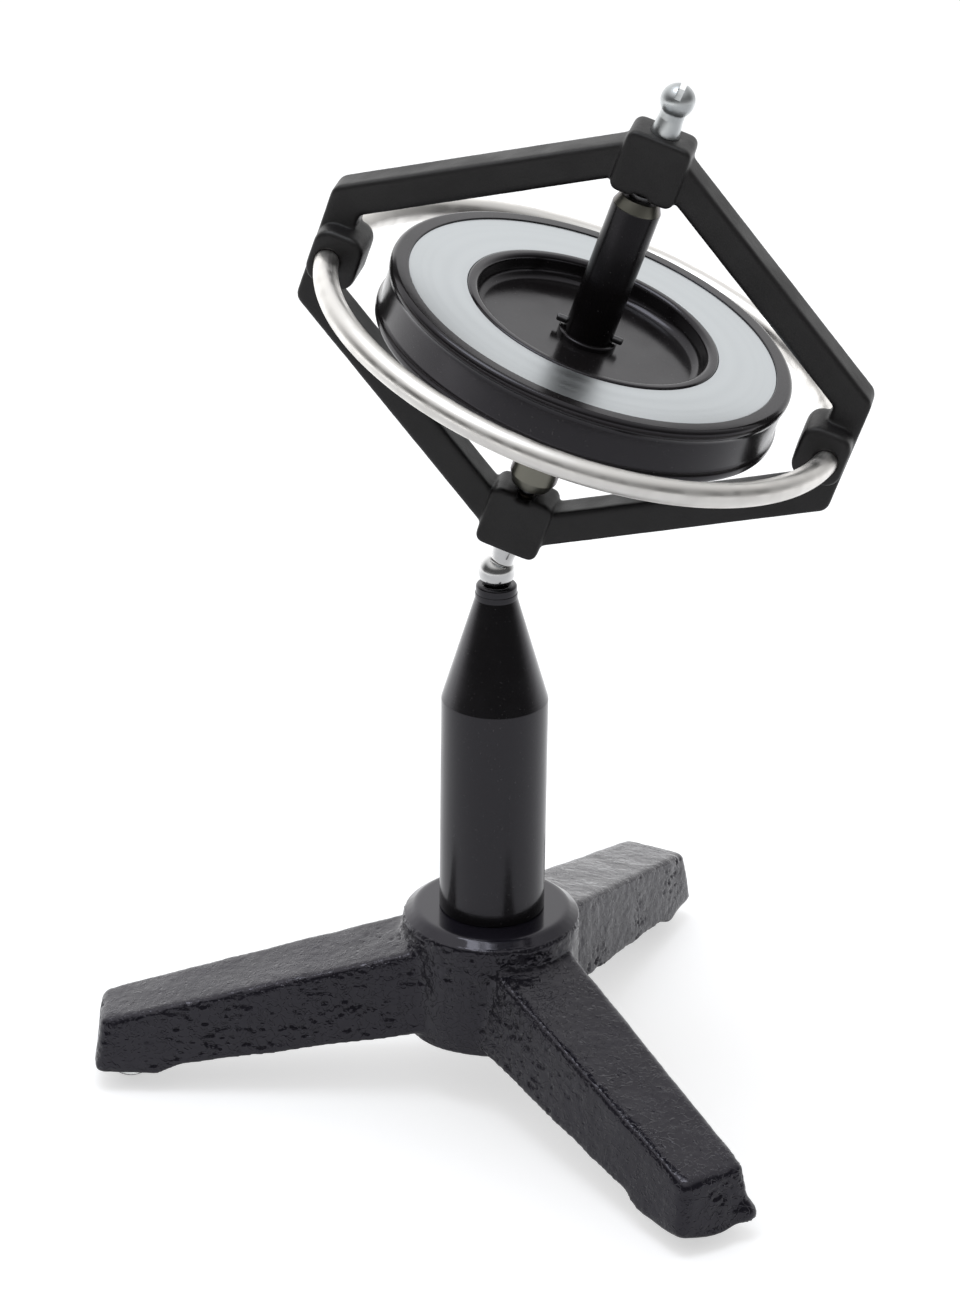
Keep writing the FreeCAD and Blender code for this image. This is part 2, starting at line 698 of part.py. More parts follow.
def sleeve():
    """The upper sleeve over the spindle, tapered at its outer end."""
    bore_radius = SPINDLE_RADIUS + FIXED_FIT
    tube = turned(
        [
            (bore_radius, WEB_HALF),
            (SLEEVE_RADIUS, WEB_HALF),
            (SLEEVE_RADIUS, SLEEVE_END),
            (SLEEVE_TIP_RADIUS, SLEEVE_TIP),
            (bore_radius, SLEEVE_TIP),
        ]
    )
    tube = rounded(
        tube, SLEEVE_EDGE_ROUND, lambda edge: is_circle(edge, SLEEVE_RADIUS, SLEEVE_END)
    )
    return tube.cut(pin_rod(CROSS_PIN_LEVEL, CROSS_PIN_RADIUS + FIXED_FIT))


def collar():
    """The upper collar round the sleeve's foot."""
    ring = turned(
        [
            (SLEEVE_RADIUS + FIXED_FIT, WEB_HALF),
            (COLLAR_RADIUS, WEB_HALF),
            (COLLAR_RADIUS, COLLAR_TOP),
            (SLEEVE_RADIUS + FIXED_FIT, COLLAR_TOP),
        ]
    )
    return rounded(ring, COLLAR_ROUND, lambda edge: is_circle(edge, COLLAR_RADIUS, COLLAR_TOP))


def face_ring():
    """The bright ring let into the flywheel's upper face."""
    top = WHEEL_HALF - FACE_RING_BELOW_LIP
    inner = FACE_RING_INNER_RADIUS + FIXED_FIT
    outer = FACE_RING_OUTER_RADIUS - FIXED_FIT
    bottom = top - FACE_RING_THICKNESS
    return turned([(inner, bottom), (outer, bottom), (outer, top), (inner, top)])


def flywheel():
    """The wheel: a thin web, a ridge, two ring grooves and a waisted rim."""
    groove_floor = WHEEL_HALF - FACE_RING_BELOW_LIP - FACE_RING_THICKNESS
    waist_radius = WHEEL_RADIUS - WHEEL_WAIST_DEPTH
    waist_start = WHEEL_HALF - WHEEL_LIP_HEIGHT
    half = [
        (SPINDLE_RADIUS + FIXED_FIT, WEB_HALF),
        (RECESS_RADIUS - RECESS_CORNER, WEB_HALF),
        (RECESS_RADIUS, WEB_HALF + RECESS_CORNER),
        (RECESS_RADIUS, WHEEL_HALF),
        (FACE_RING_INNER_RADIUS, WHEEL_HALF),
        (FACE_RING_INNER_RADIUS, groove_floor),
        (FACE_RING_OUTER_RADIUS, groove_floor),
        (FACE_RING_OUTER_RADIUS, WHEEL_HALF),
        (WHEEL_RADIUS, WHEEL_HALF),
        (WHEEL_RADIUS, waist_start),
        (waist_radius, waist_start - WHEEL_WAIST_DEPTH),
    ]
    other_half = [(radius, -height) for radius, height in reversed(half)]
    wheel = turned(half + other_half)

    def is_lip(edge):
        return any(is_circle(edge, WHEEL_RADIUS, z) for z in (WHEEL_HALF, -WHEEL_HALF))

    def is_ridge(edge):
        return any(is_circle(edge, RECESS_RADIUS, z) for z in (WHEEL_HALF, -WHEEL_HALF))

    wheel = rounded(wheel, WHEEL_LIP_ROUND, is_lip)
    return rounded(wheel, RIDGE_ROUND, is_ridge)


# ---------------------------------------------------------------- assembly


def stand_pieces():
    pieces = {
        "base_casting": base_casting(),
        "column": column(),
        "column_screw": column_screw(),
        "screw_washer": screw_washer(),
        "pivot_cup": pivot_cup(),
    }
    for name, azimuth in LEG_AZIMUTHS.items():
        pieces["foot_pad_" + name] = foot_pad(azimuth)
    return pieces


def gyroscope_pieces():
    halves = {
        "bearing": upper_bearing(),
        "face_ring": face_ring(),
        "sleeve": sleeve(),
        "collar": collar(),
        "cross_pin": cross_pin(),
    }
    pieces = {
        "lower_ball": lower_ball(),
        "lower_stud": lower_stud(),
        "frame_casting": frame_casting(),
        "upper_stud": upper_stud(),
        "ring_front_half": guard_ring_half(-1),
        "ring_rear_half": guard_ring_half(1),
        "flywheel": flywheel(),
        "spindle": spindle(),
    }
    for name, shape in halves.items():
        pieces[name + "_upper"] = shape
        pieces[name + "_lower"] = mirrored(shape)
    return pieces


def lean_placement():
    """Carries the upright gyroscope onto the pivot, leaned and turned."""
    azimuth = math.radians(LEAN_AZIMUTH)
    lean_axis = FreeCAD.Vector(-math.sin(azimuth), math.cos(azimuth), 0)
    turn = FreeCAD.Rotation(Z_AXIS, FRAME_TURN)
    rotation = FreeCAD.Rotation(lean_axis, LEAN).multiply(turn)
    ball_centre = FreeCAD.Vector(0, 0, BALL_CENTRE_Z)
    centre = ball_centre + rotation.multVec(Z_AXIS * HALF_SPAN)
    return FreeCAD.Placement(centre, rotation)


def main():
    os.makedirs("parts", exist_ok=True)
    pieces = stand_pieces()
    placement = lean_placement()
    for name, shape in gyroscope_pieces().items():
        shape.Placement = placement.multiply(shape.Placement)
        pieces[name] = shape
    for name, shape in pieces.items():
        shape.exportStep(os.path.join("parts", name + ".step"))
        print(name, len(shape.Solids), shape.isValid(), round(shape.Volume, 2))


main()
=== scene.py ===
import json
import math
from collections import namedtuple

import bmesh
import bpy
from mathutils import Matrix, Vector, noise

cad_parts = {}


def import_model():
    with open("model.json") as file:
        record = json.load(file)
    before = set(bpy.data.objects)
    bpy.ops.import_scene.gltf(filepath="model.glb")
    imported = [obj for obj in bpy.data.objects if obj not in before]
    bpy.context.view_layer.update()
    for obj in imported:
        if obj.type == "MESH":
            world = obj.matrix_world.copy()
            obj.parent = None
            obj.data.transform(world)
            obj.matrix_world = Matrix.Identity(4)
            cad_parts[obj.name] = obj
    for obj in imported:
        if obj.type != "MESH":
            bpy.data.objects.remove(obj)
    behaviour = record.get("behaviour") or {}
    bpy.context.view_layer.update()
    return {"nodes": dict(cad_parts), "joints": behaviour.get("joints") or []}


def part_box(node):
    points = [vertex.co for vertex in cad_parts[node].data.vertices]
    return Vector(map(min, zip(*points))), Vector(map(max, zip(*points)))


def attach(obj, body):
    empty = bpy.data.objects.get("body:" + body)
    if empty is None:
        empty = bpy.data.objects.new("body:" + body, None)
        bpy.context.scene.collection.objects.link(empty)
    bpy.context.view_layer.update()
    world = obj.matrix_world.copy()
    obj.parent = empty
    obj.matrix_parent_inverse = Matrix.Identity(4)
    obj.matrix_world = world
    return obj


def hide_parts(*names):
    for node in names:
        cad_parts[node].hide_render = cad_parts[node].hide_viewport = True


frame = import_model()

# Demonstration gyroscope on its stand: turned, cast and polished pieces built over the
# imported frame, with a studio floor, soft light and a camera. Lengths are in millimetres
# and angles in degrees; lengths turn into metres where meshes and materials are made.

MM = 0.001

# ---- pose of the gyroscope on its pivot ----
LEAN = 18.8
LEAN_AZIMUTH = -19.0
FRAME_TURN = -11.2

# ---- mesh fineness ----
TURNED_SEGMENTS = 256
SMALL_SEGMENTS = 128
CORNER_STEPS = 5
RING_STEPS = 200
RING_SIDES = 48
SHARP_ANGLE = 40.0
WELD = 0.001

# ---- cast base ----
HUB_RADIUS = 15.1
HUB_CHAMFER_HEIGHT = 1.5
HUB_ABOVE_LEGS = 5.9
LEG_REACH = 67.2
LEG_TIP_WIDTH = 12.1
LEG_ROOT_WIDTH = 15.5
LEG_RISE = 13.3
LEG_AZIMUTHS = {"front": -57.3, "rear": 62.7, "left": 182.7}
BASE_VOXEL = 0.34
EVEN_SOFTENING = 2
BASE_SOFTENING = 6
MACHINED_MARGIN = 0.3
ROUGH_BELOW_CHAMFER = 0.6
PAINT_BUILD = 0.12
FOLD_DEPTH = 0.08
FOLD_SIZE = 2.6
FOLD_FLATNESS = 2.5
SWELL_DEPTH = 0.14
SWELL_SIZE = 6.0
RIPPLE_DEPTH = 0.045
RIPPLE_SIZE = 1.2
# The pits are warped by noise_vector, which follows a seed from the clock if none is set.
PIT_SEED = 1
PIT_DEPTH = 0.26
PIT_SPACING = 1.4
PIT_REACH = 0.5
PIT_SHARE = 0.7
PIT_WARP = 0.35
PIT_FLATNESS = 1.9
PIT_FIELD_SIZE = 11.0
PIT_PATCH_EDGE = (-0.45, 0.05)
PIT_FEWER_ON_TOP = 0.6
PIT_FEWER_ON_RIGHT = 0.3
PIT_RIGHT_REACH = 20.0
PIT_LEAST_SIZE = 0.6
PIT_SIZE_SPREAD = 0.7
PIT_FLOOR_SHARE = 0.3
# Scales that turn a pit's place into its own two draws.
PIT_SHARE_DRAW = 7.3
PIT_SIZE_DRAW = 3.1
RAGGED_DEPTH = 0.2
RAGGED_SIZE = 4.5
TOE_SAG = 1.4
TOE_SAG_REACH = 8.5
TOE_SAG_CORE = 0.4 * TOE_SAG_REACH
BURR_DEPTH = 1.9
BURR_REACH = 3.6
BURR_HEIGHT = 0.9
BURR_SHARPNESS = 1.5
PITS_UP_TO_BULGE = 0.5
TOE_SOFTENING = 14
TOE_LENGTH = 3.0
FLASH_HALF_WIDTH = 0.24
FLASH_WANDER = 0.3
FLASH_WANDER_SIZE = 3.0
FLASH_BREAK_SIZE = 6.0
FLASH_BREAK_EDGE = (-0.45, 0.1)
FLASH_ENDS = (0.03, 0.96)
FLASH_REFINE_REACH = 1.1
# For each leg, the side of its top edge that carries the mould's flash, the flash's height, and
# the share of the leg that it runs along from the hub.
LEG_FLASHES = {"front": (-1, 0.42, 1.0), "left": (1, 0.24, 0.36), "rear": (1, 0.2, 0.5)}
# Where the rise of a face's normal takes an effect from none to full.
PITTED_SIDES = (0.85, 0.5)
FOLDED_SIDES = (0.8, 0.4)
RAGGED_UNDERSIDE = (-0.1, -0.4)
RAGGED_OFF_FLOOR = (-0.98, -0.8)
SAGGING_UNDERSIDE = (-0.15, -0.5)
BURRED_SIDES = (-0.9, -0.2)

# ---- column and cup ----
CONE_LENGTH = 18.3
CONE_TOP_RADIUS = 3.55
LAND_LENGTH = 1.0
COLUMN_SHOULDER_ROUND = 1.1
COLUMN_FOOT_ROUND = 0.35
COLUMN_EDGE_ROUND = 0.08
STEM_HOLE_RADIUS = 2.22
STEM_HOLE_DEPTH = 5.1
SCREW_HOLE_RADIUS = 3.02
SCREW_HOLE_DEPTH = 21.0
CUP_STEM_RADIUS = 2.2
CUP_LIP_HEIGHT = 1.6
CUP_LIP_ROUND = 0.6
CUP_MOUTH_RADIUS = 2.5
CUP_MOUTH_ROUND = 0.25
CUP_SEAT_DEPTH = 1.44

# ---- pads ----
PAD_FLAT_RADIUS = 1.6
PAD_STEPS = 10

# ---- balls and studs ----
UPPER_BALL_RADIUS = 2.75
STUD_NECK_RADIUS = 2.0
STUD_ROOT_RADIUS = 2.4
STUD_NECK_LENGTH = 1.2
STUD_ROOT_ROUND = 0.25
STUD_NECK_FILLET = 0.7
BLOCK_TO_BALL = 5.9
RUNNING_FIT = 0.05
BALL_STEPS = 48
STRING_SLOT_WIDTH = 1.0
STRING_SLOT_DEPTH = 1.8

# ---- frame ----
FRAME_VOXEL = 0.28
FRAME_SOFTENING = 8
FRAME_PAINT_BUILD = 0.12
FRAME_SWELL_DEPTH = 0.03
FRAME_SWELL_SIZE = 4.0
FRAME_GRAIN_DEPTH = 0.012
FRAME_GRAIN_SIZE = 0.9

# ---- paint and plastic ----
VIOLET_SHEEN = (0.94, 0.91, 1.0, 1)
NOISE_RANGE = (0.3, 0.7)
ROUGHNESS_SPREAD = (0.8, 1.3)
CAST_COLORS = ((0.0062, 0.0056, 0.0084), (0.0135, 0.0122, 0.0185))
CAST_ROUGHNESS = (0.11, 0.2)
CAST_DULL_EDGE = (0.35, 0.7)
CAST_BUMP = 0.075
MACHINED_FADE = 0.4
MACHINED_SMOOTHNESS = 0.8
SAND_SIZE = 0.42
SAND_PATCH_SIZE = 9.0
SAND_PATCH_EDGE = (0.38, 0.62)
SAND_HEIGHTS = (0.1, 0.6)
PAINT_FOLD_SIZE = 1.6
WORM_SIZE = 1.5
WORM_CROOK = 1.2
WORM_WIDTH = 0.05
WORM_HEIGHT = 0.64
PIN_HOLE_SPACING = 1.1
PIN_HOLE_EDGE = (0.05, 0.45)
PIN_HOLE_DEPTH = 0.7
PIN_HOLE_SHARE = (0.3, 0.35)
PIN_HOLE_PATCH_SIZE = 10.0
PIN_HOLE_PATCH_EDGE = (0.42, 0.58)
# Gloss paints: colour, roughness and strength of the gloss.
COLUMN_PAINT = ((0.0065, 0.006, 0.0063), 0.17, 0.5)
CUP_PAINT = ((0.006, 0.006, 0.0065), 0.12, 0.5)
WHEEL_PAINT = ((0.0085, 0.0075, 0.0078), 0.18, 0.4)
SLEEVE_PAINT = ((0.006, 0.0052, 0.0055), 0.2, 0.2)
GLOSS_LINE_PITCH = 0.35
GLOSS_LINE_SHARE = 0.5
GLOSS_PEEL_SIZE = 1.3
GLOSS_BUMP = 0.006
GLOSS_CLOUD_SIZE = 8.0
DUST_SIZE = 0.35
DUST_EDGE = (0.79, 0.83)
DUST_COLOR_TIMES = 2
DUST_COLOR_PLUS = 0.03
SATIN_COLORS = ((0.005, 0.0044, 0.0046), (0.011, 0.0098, 0.0103))
SATIN_ROUGHNESS = (0.42, 0.54)
SATIN_GLOSS = 0.4
SATIN_GRAIN_SIZE = 0.35
SATIN_BUMP = 0.03
SATIN_CLOUD_SIZE = 6.0
PAD_COLOR = (0.93, 0.95, 0.95)
PAD_CLEARNESS = 0.85
PAD_IOR = 1.48
PAD_ROUGHNESS = (0.05, 0.2)
PAD_HAZE_SIZE = 1.4
PAD_BUMP = 0.02

# ---- metal: colour and roughness ----
STUD_PLATING = ((0.64, 0.64, 0.64), 0.16)
TOP_STUD_PLATING = ((0.49, 0.51, 0.515), 0.33)
RING_PLATING = ((0.82, 0.80, 0.77), 0.36)
PLATING_WAVE_SIZE = 4.0
PLATING_BUMP = 0.02
PLATING_CLOUD_SIZE = 3.0
PLATING_CLOUD_EDGE = (0.3, 0.75)
PLATING_SPREAD = (0.85, 1.3)
PLATING_MARK_PITCH = 0.5
PLATING_MARK_SPREAD = (0.92, 1.08)
PLATING_TARNISH = 0.88
GROUND_STEEL = ((0.5, 0.5, 0.51), 0.28)
# Blackened steel for the spindle and cross pins, darkened further as painted shade for the shaded
# gap in the frame block's groove.
SPINDLE_STEEL_PAINTED_SHADE = ((0.16, 0.16, 0.165), 0.35)
# Bronze for the bearing bushes, darkened nearly to black as painted shade for the shaded groove
# round the bearings.
BUSH_BRONZE_PAINTED_SHADE = ((0.06, 0.052, 0.042), 0.5)
TURNED_LINE_PITCH = 0.2
TURNED_BUMP = 0.004
TURNED_CLOUD_SIZE = 2.0
TURNED_SHADE = 0.75
FACE_RING_COLORS = ((0.52, 0.549, 0.566), (0.542, 0.566, 0.58))
FACE_RING_ROUGHNESS = (0.29, 0.33)
FACE_RING_FINE_PITCH = 0.15
FACE_RING_BROAD_PITCH = 1.6

# ---- flywheel ----
WHEEL_LIP_HEIGHT = 1.5
WHEEL_LIP_ROUND = 0.9
WHEEL_WAIST_DEPTH = 0.45
LIP_FOOT_ROUND = 0.5
WAIST_ROUND = 1.4
WEB_HALF = 1.0
RIDGE_INNER_ROUND = 0.85
RIDGE_OUTER_ROUND = 0.45
RIDGE_WIDTH = 1.9
RECESS_FILLET = 1.7
SMALL_EDGE = 0.15
SLEEVE_TIP_RADIUS = 3.2
SLEEVE_TIP_LENGTH = 1.8
SLEEVE_EDGE_ROUND = 0.4
SLEEVE_BARE_LENGTHS = {"upper": 1.9, "lower": 5.0}
BARE_EDGE = 0.25
BARE_METAL = (0.2, 0.195, 0.165, 1)
BARE_ROUGHNESS = 0.38
COLLAR_ROUND = 0.35

# ---- camera, at the angle from which the object is seen ----
CAMERA_ELEVATION = 24.39
CAMERA_ROLL = 0.756
CAMERA_DISTANCE = 677.74
CAMERA_TARGET = (-2.588, 0.0, 79.998)
CAMERA_LENS = 112.56
CAMERA_SENSOR = 36.0
CAMERA_CLIP = 10.0

# ---- studio; SIDE, DARK and DIM ranges are parts of a direction, from -1 to 1 ----
FLOOR_RADIUS = 900.0
FLOOR_FADE = (0.45, 0.95)
FLOOR_SEGMENTS = 96
FLOOR_DROP = 0.05
FLOOR_COLOR = (0.58, 0.58, 0.585)
FLOOR_LIFT = 0.58
FLOOR_GLOSS_LIFTS = (0.16, 1.0)
FLOOR_GLOSS_REACH = (-120.0, 350.0)
SIDE_SPAN = (-0.8, 0.8)
SIDE_LEVELS = (1.65, 1.05)
DARK_ROOM = 0.1
DARK_HORIZON = (-0.14, 0.03)
DARK_CEILING = (0.4, 0.88)
DARK_FRONT = (-0.1, 0.95)
DIM_ABOVE = (0.5, 0.75)
DIM_LEVEL = 0.72
SOFTBOX_SIZE = 800.0
SOFTBOX_PLACE = (-150.0, -60.0, 1600.0)
SOFTBOX_POWER = 8.5
SOFTBOX_COLOR = (0.88, 0.93, 1.0)


# ---- placing ----


def joint(name):
    return next(j for j in frame["joints"] if j["name"] == name)


def gyroscope_matrix():
    """Takes the gyroscope's own axes, about its centre, to the frame."""
    azimuth = math.radians(LEAN_AZIMUTH)
    lean_axis = Vector((-math.sin(azimuth), math.cos(azimuth), 0))
    lean = Matrix.Rotation(math.radians(LEAN), 4, lean_axis)
    turn = Matrix.Rotation(math.radians(FRAME_TURN), 4, "Z")
    return Matrix.Translation(joint("flywheel_spin")["pos_m"]) @ lean @ turn


STAND = Matrix.Identity(4)
GYROSCOPE = gyroscope_matrix()

Reach = namedtuple("Reach", "inner outer low high")


def reach(node, matrix):
    """A node's smallest and largest radius and its lowest and highest level, in its own axes."""
    own = matrix.inverted()
    points = [own @ vertex.co / MM for vertex in frame["nodes"][node].data.vertices]
    radii = [math.hypot(point.x, point.y) for point in points]
    levels = [point.z for point in points]
    return Reach(min(radii), max(radii), min(levels), max(levels))


# ---- mesh helpers ----


def arc(centre, radius, start, end, steps):
    """Points along an arc, from a start angle to an end angle in degrees, both included."""
    points = []
    for step in range(steps + 1):
        angle = math.radians(start + (end - start) * step / steps)
        points.append((centre[0] + radius * math.cos(angle), centre[1] + radius * math.sin(angle)))
    return points


def rounded_corner(before, corner, after, radius):
    """The points that replace an outline's corner where it is rounded to the radius."""
    to_before = (before - corner).normalized()
    to_after = (after - corner).normalized()
    half_angle = to_before.angle(to_after) / 2
    middle = (to_before + to_after).normalized()
    centre = corner + middle * (radius / math.sin(half_angle))
    cut_back = radius / math.tan(half_angle)
    start = corner + to_before * cut_back - centre
    sweep = start.angle_signed(corner + to_after * cut_back - centre)
    points = []
    for step in range(CORNER_STEPS + 1):
        angle = -sweep * step / CORNER_STEPS
        points.append(centre + Matrix.Rotation(angle, 2) @ start)
    return [tuple(point) for point in points]


def outline(corners):
    """A closed outline from (radius, level) corners, where a third number rounds the corner."""
    points = []
    count = len(corners)
    for index, corner in enumerate(corners):
        place = Vector(corner[:2])
        if len(corner) == 2:
            points.append(tuple(place))
            continue
        before = Vector(corners[index - 1][:2])
        after = Vector(corners[(index + 1) % count][:2])
        points += rounded_corner(before, place, after, corner[2])
    return points


def linked(name, data):
    """A new object in the scene for this mesh, light or camera."""
    made = bpy.data.objects.new(name, data)
    bpy.context.scene.collection.objects.link(made)
    return made


def mesh_from(name, work):
    """A new mesh from the faces that were being worked on."""
    mesh = bpy.data.meshes.new(name)
    work.to_mesh(mesh)
    work.free()
    return mesh


def finish_mesh(mesh):
    """Outward faces, smooth shading and sharp corners."""
    work = bmesh.new()
    work.from_mesh(mesh)
    bmesh.ops.recalc_face_normals(work, faces=work.faces)
    work.to_mesh(mesh)
    work.free()
    mesh.shade_smooth()
    mesh.set_sharp_from_angle(angle=math.radians(SHARP_ANGLE))


def new_piece(name, mesh, matrix, finish):
    """An object for the mesh, set in place by the matrix, with normals that keep flats flat."""
    mesh.transform(matrix)
    mesh.materials.append(finish)
    piece = linked(name, mesh)
    normals = piece.modifiers.new("flat normals", "WEIGHTED_NORMAL")
    normals.keep_sharp = True
    return piece


def turned(name, points, matrix, finish, segments=TURNED_SEGMENTS):
    """A piece turned about its axis from a closed outline of (radius, level) points."""
    work = bmesh.new()
    rings = []
    for radius, level in points:
        if radius < WELD:
            rings.append([work.verts.new((0, 0, level * MM))])
            continue
        ring = []
        for index in range(segments):
            angle = 2 * math.pi * index / segments
            x = radius * math.cos(angle)
            y = radius * math.sin(angle)
            ring.append(work.verts.new((x * MM, y * MM, level * MM)))
        rings.append(ring)
    for first, second in zip(rings, rings[1:] + rings[:1]):
        join_rings(work, first, second)
    mesh = mesh_from(name, work)
    finish_mesh(mesh)
    return new_piece(name, mesh, matrix, finish)


def join_rings(work, first, second):
    """Faces between two rings of vertices, either of which may be a single vertex."""
    count = max(len(first), len(second))
    if count == 1:
        return
    for index in range(count):
        after = (index + 1) % count
        corners = [
            first[index % len(first)],
            first[after % len(first)],
            second[after % len(second)],
            second[index % len(second)],
        ]
        work.faces.new(list(dict.fromkeys(corners)))


def skin_of(node, matrix, voxel):
    """A node's shape as an even, closed skin of small faces, in its own axes."""
    mesh = frame["nodes"][node].data.copy()
    mesh.transform(matrix.inverted())
    work = bmesh.new()
    work.from_mesh(mesh)
    bmesh.ops.remove_doubles(work, verts=work.verts, dist=WELD * MM)
    work.to_mesh(mesh)
    work.free()
    source = linked("skin source", mesh)
    remesh = source.modifiers.new("even faces", "REMESH")
    remesh.mode = "VOXEL"
    remesh.voxel_size = voxel * MM
    evaluated = source.evaluated_get(bpy.context.evaluated_depsgraph_get())
    skin = bpy.data.meshes.new_from_object(evaluated)
    bpy.data.objects.remove(source)
    bpy.data.meshes.remove(mesh)
    skin.materials.clear()
    return skin


def soften(work, verts, rounds):
    """Evens out the skin at these vertices, this many times over."""
    for _ in range(rounds):
        bmesh.ops.smooth_vert(
            work, verts=verts, factor=0.5, use_axis_x=True, use_axis_y=True, use_axis_z=True
        )


def push_skin(work, offset):
    """Moves each vertex along its normal by offset(point, normal), in millimetres."""
    work.normal_update()
    moves = []
    for vertex in work.verts:
        moves.append(vertex.normal * (offset(vertex.co / MM, vertex.normal) * MM))
    for vertex, move in zip(work.verts, moves):
        vertex.co += move


def smoothstep(low, high, value):
    share = min(1.0, max(0.0, (value - low) / (high - low)))
    return share * share * (3 - 2 * share)


def scaled(values, factor):
    return tuple(value * factor for value in values)


# ---- material helpers ----


def material(name, color, metallic=0.0):
    """A material with a Principled shader, and its node tree and shader."""
    made = bpy.data.materials.new(name)
    made.use_nodes = True
    tree = made.node_tree
    shader = tree.nodes["Principled BSDF"]
    shader.inputs["Base Color"].default_value = (*color, 1)
    shader.inputs["Metallic"].default_value = metallic
    return made, tree, shader


def own_coordinates(tree, matrix):
    """A point's place in the axes that the matrix set in the frame, in metres."""
    place = tree.nodes.new("ShaderNodeTexCoord").outputs["Object"]
    mapping = tree.nodes.new("ShaderNodeMapping")
    mapping.vector_type = "TEXTURE"
    mapping.inputs["Location"].default_value = matrix.to_translation()
    mapping.inputs["Rotation"].default_value = matrix.to_euler()
    tree.links.new(place, mapping.inputs["Vector"])
    return mapping.outputs["Vector"]


def noise_factor(tree, coordinates, size, detail=3.0, crook=0.0):
    """Noise from 0 to 1 with features of this size in millimetres, bent by the crook."""
    texture = tree.nodes.new("ShaderNodeTexNoise")
    texture.inputs["Scale"].default_value = 1 / (size * MM)
    texture.inputs["Detail"].default_value = detail
    texture.inputs["Distortion"].default_value = crook
    tree.links.new(coordinates, texture.inputs["Vector"])
    return texture.outputs["Fac"]


def remapped(tree, value, low, high, to_low, to_high):
    """A value taken smoothly from one range to another."""
    node = tree.nodes.new("ShaderNodeMapRange")
    node.interpolation_type = "SMOOTHSTEP"
    node.inputs["From Min"].default_value = low
    node.inputs["From Max"].default_value = high
    node.inputs["To Min"].default_value = to_low
    node.inputs["To Max"].default_value = to_high
    tree.links.new(value, node.inputs["Value"])
    return node.outputs["Result"]


def arithmetic(tree, operation, first, second):
    """A Math node's result, where each input is a socket or a number."""
    node = tree.nodes.new("ShaderNodeMath")
    node.operation = operation
    for socket, value in zip(node.inputs, (first, second)):
        if isinstance(value, (int, float)):
            socket.default_value = value
        else:
            tree.links.new(value, socket)
    return node.outputs[0]


def times(tree, first, second):
    return arithmetic(tree, "MULTIPLY", first, second)


def color_between(tree, shader, factor, first, second):
    """Gives the shader a colour between two, by a factor from 0 to 1."""
    node = tree.nodes.new("ShaderNodeMix")
    node.data_type = "RGBA"
    node.inputs["A"].default_value = (*first, 1)
    node.inputs["B"].default_value = (*second, 1)
    tree.links.new(factor, node.inputs["Factor"])
    tree.links.new(node.outputs["Result"], shader.inputs["Base Color"])


def rough_between(tree, shader, factor, low, high):
    """Gives the shader a roughness between two, following a noise."""
    tree.links.new(remapped(tree, factor, *NOISE_RANGE, low, high), shader.inputs["Roughness"])


def bumped(tree, shader, height, depth):
    """Bump of this depth in millimetres."""
    bump = tree.nodes.new("ShaderNodeBump")
    bump.inputs["Distance"].default_value = depth * MM
    tree.links.new(height, bump.inputs["Height"])
    tree.links.new(bump.outputs["Normal"], shader.inputs["Normal"])


def axis_distance(tree, coordinates):
    """The distance from the piece's own axis."""
    flat = tree.nodes.new("ShaderNodeVectorMath")
    flat.operation = "MULTIPLY"
    flat.inputs[1].default_value = (1, 1, 0)
    length = tree.nodes.new("ShaderNodeVectorMath")
    length.operation = "LENGTH"
    tree.links.new(coordinates, flat.inputs[0])
    tree.links.new(flat.outputs["Vector"], length.inputs[0])
    return length.outputs["Value"]


def turning_marks(tree, value, pitch):
    """Fine uneven lines along a length in metres, about this pitch in millimetres apart."""
    texture = tree.nodes.new("ShaderNodeTexNoise")
    texture.noise_dimensions = "1D"
    texture.inputs["Scale"].default_value = 1 / (pitch * MM)
    texture.inputs["Detail"].default_value = 2.0
    tree.links.new(value, texture.inputs["W"])
    return texture.outputs["Fac"]


def along(tree, vector, axis):
    """How far a vector reaches along one of its axes."""
    split = tree.nodes.new("ShaderNodeSeparateXYZ")
    tree.links.new(vector, split.inputs["Vector"])
    return split.outputs[axis]


# ---- materials ----


def cast_paint(machined_above):
    """Gloss black paint over sand-cast iron, smooth where the hub's top was machined."""
    made, tree, shader = material("cast_base_paint", CAST_COLORS[0])
    shader.inputs["Specular Tint"].default_value = VIOLET_SHEEN
    coordinates = own_coordinates(tree, STAND)
    level = along(tree, coordinates, "Z")
    fade_end = machined_above + MACHINED_FADE
    cast = remapped(tree, level, machined_above * MM, fade_end * MM, 1.0, 0.0)
    patches = noise_factor(tree, coordinates, SAND_PATCH_SIZE, detail=1.0)
    sand = noise_factor(tree, coordinates, SAND_SIZE, detail=2.0)
    grain = times(tree, sand, remapped(tree, patches, *SAND_PATCH_EDGE, *SAND_HEIGHTS))
    skin = noise_factor(tree, coordinates, PAINT_FOLD_SIZE, detail=1.0)
    for layer in (grain, paint_worms(tree, coordinates), pin_holes(tree, coordinates)):
        skin = arithmetic(tree, "ADD", skin, layer)
    bumped(tree, shader, times(tree, skin, cast), CAST_BUMP)
    color_between(tree, shader, patches, *CAST_COLORS)
    dull = remapped(tree, patches, *CAST_DULL_EDGE, *CAST_ROUGHNESS)
    smooth = remapped(tree, cast, 0.0, 1.0, MACHINED_SMOOTHNESS, 1.0)
    tree.links.new(times(tree, dull, smooth), shader.inputs["Roughness"])
    return made


def paint_worms(tree, coordinates):
    """Short crooked ridges in the paint, as a height."""
    bent = noise_factor(tree, coordinates, WORM_SIZE, detail=0.0, crook=WORM_CROOK)
    from_middle = arithmetic(tree, "SUBTRACT", bent, 0.5)
    ridge = arithmetic(tree, "ABSOLUTE", from_middle, 0.0)
    return remapped(tree, ridge, 0.0, WORM_WIDTH, WORM_HEIGHT, 0.0)


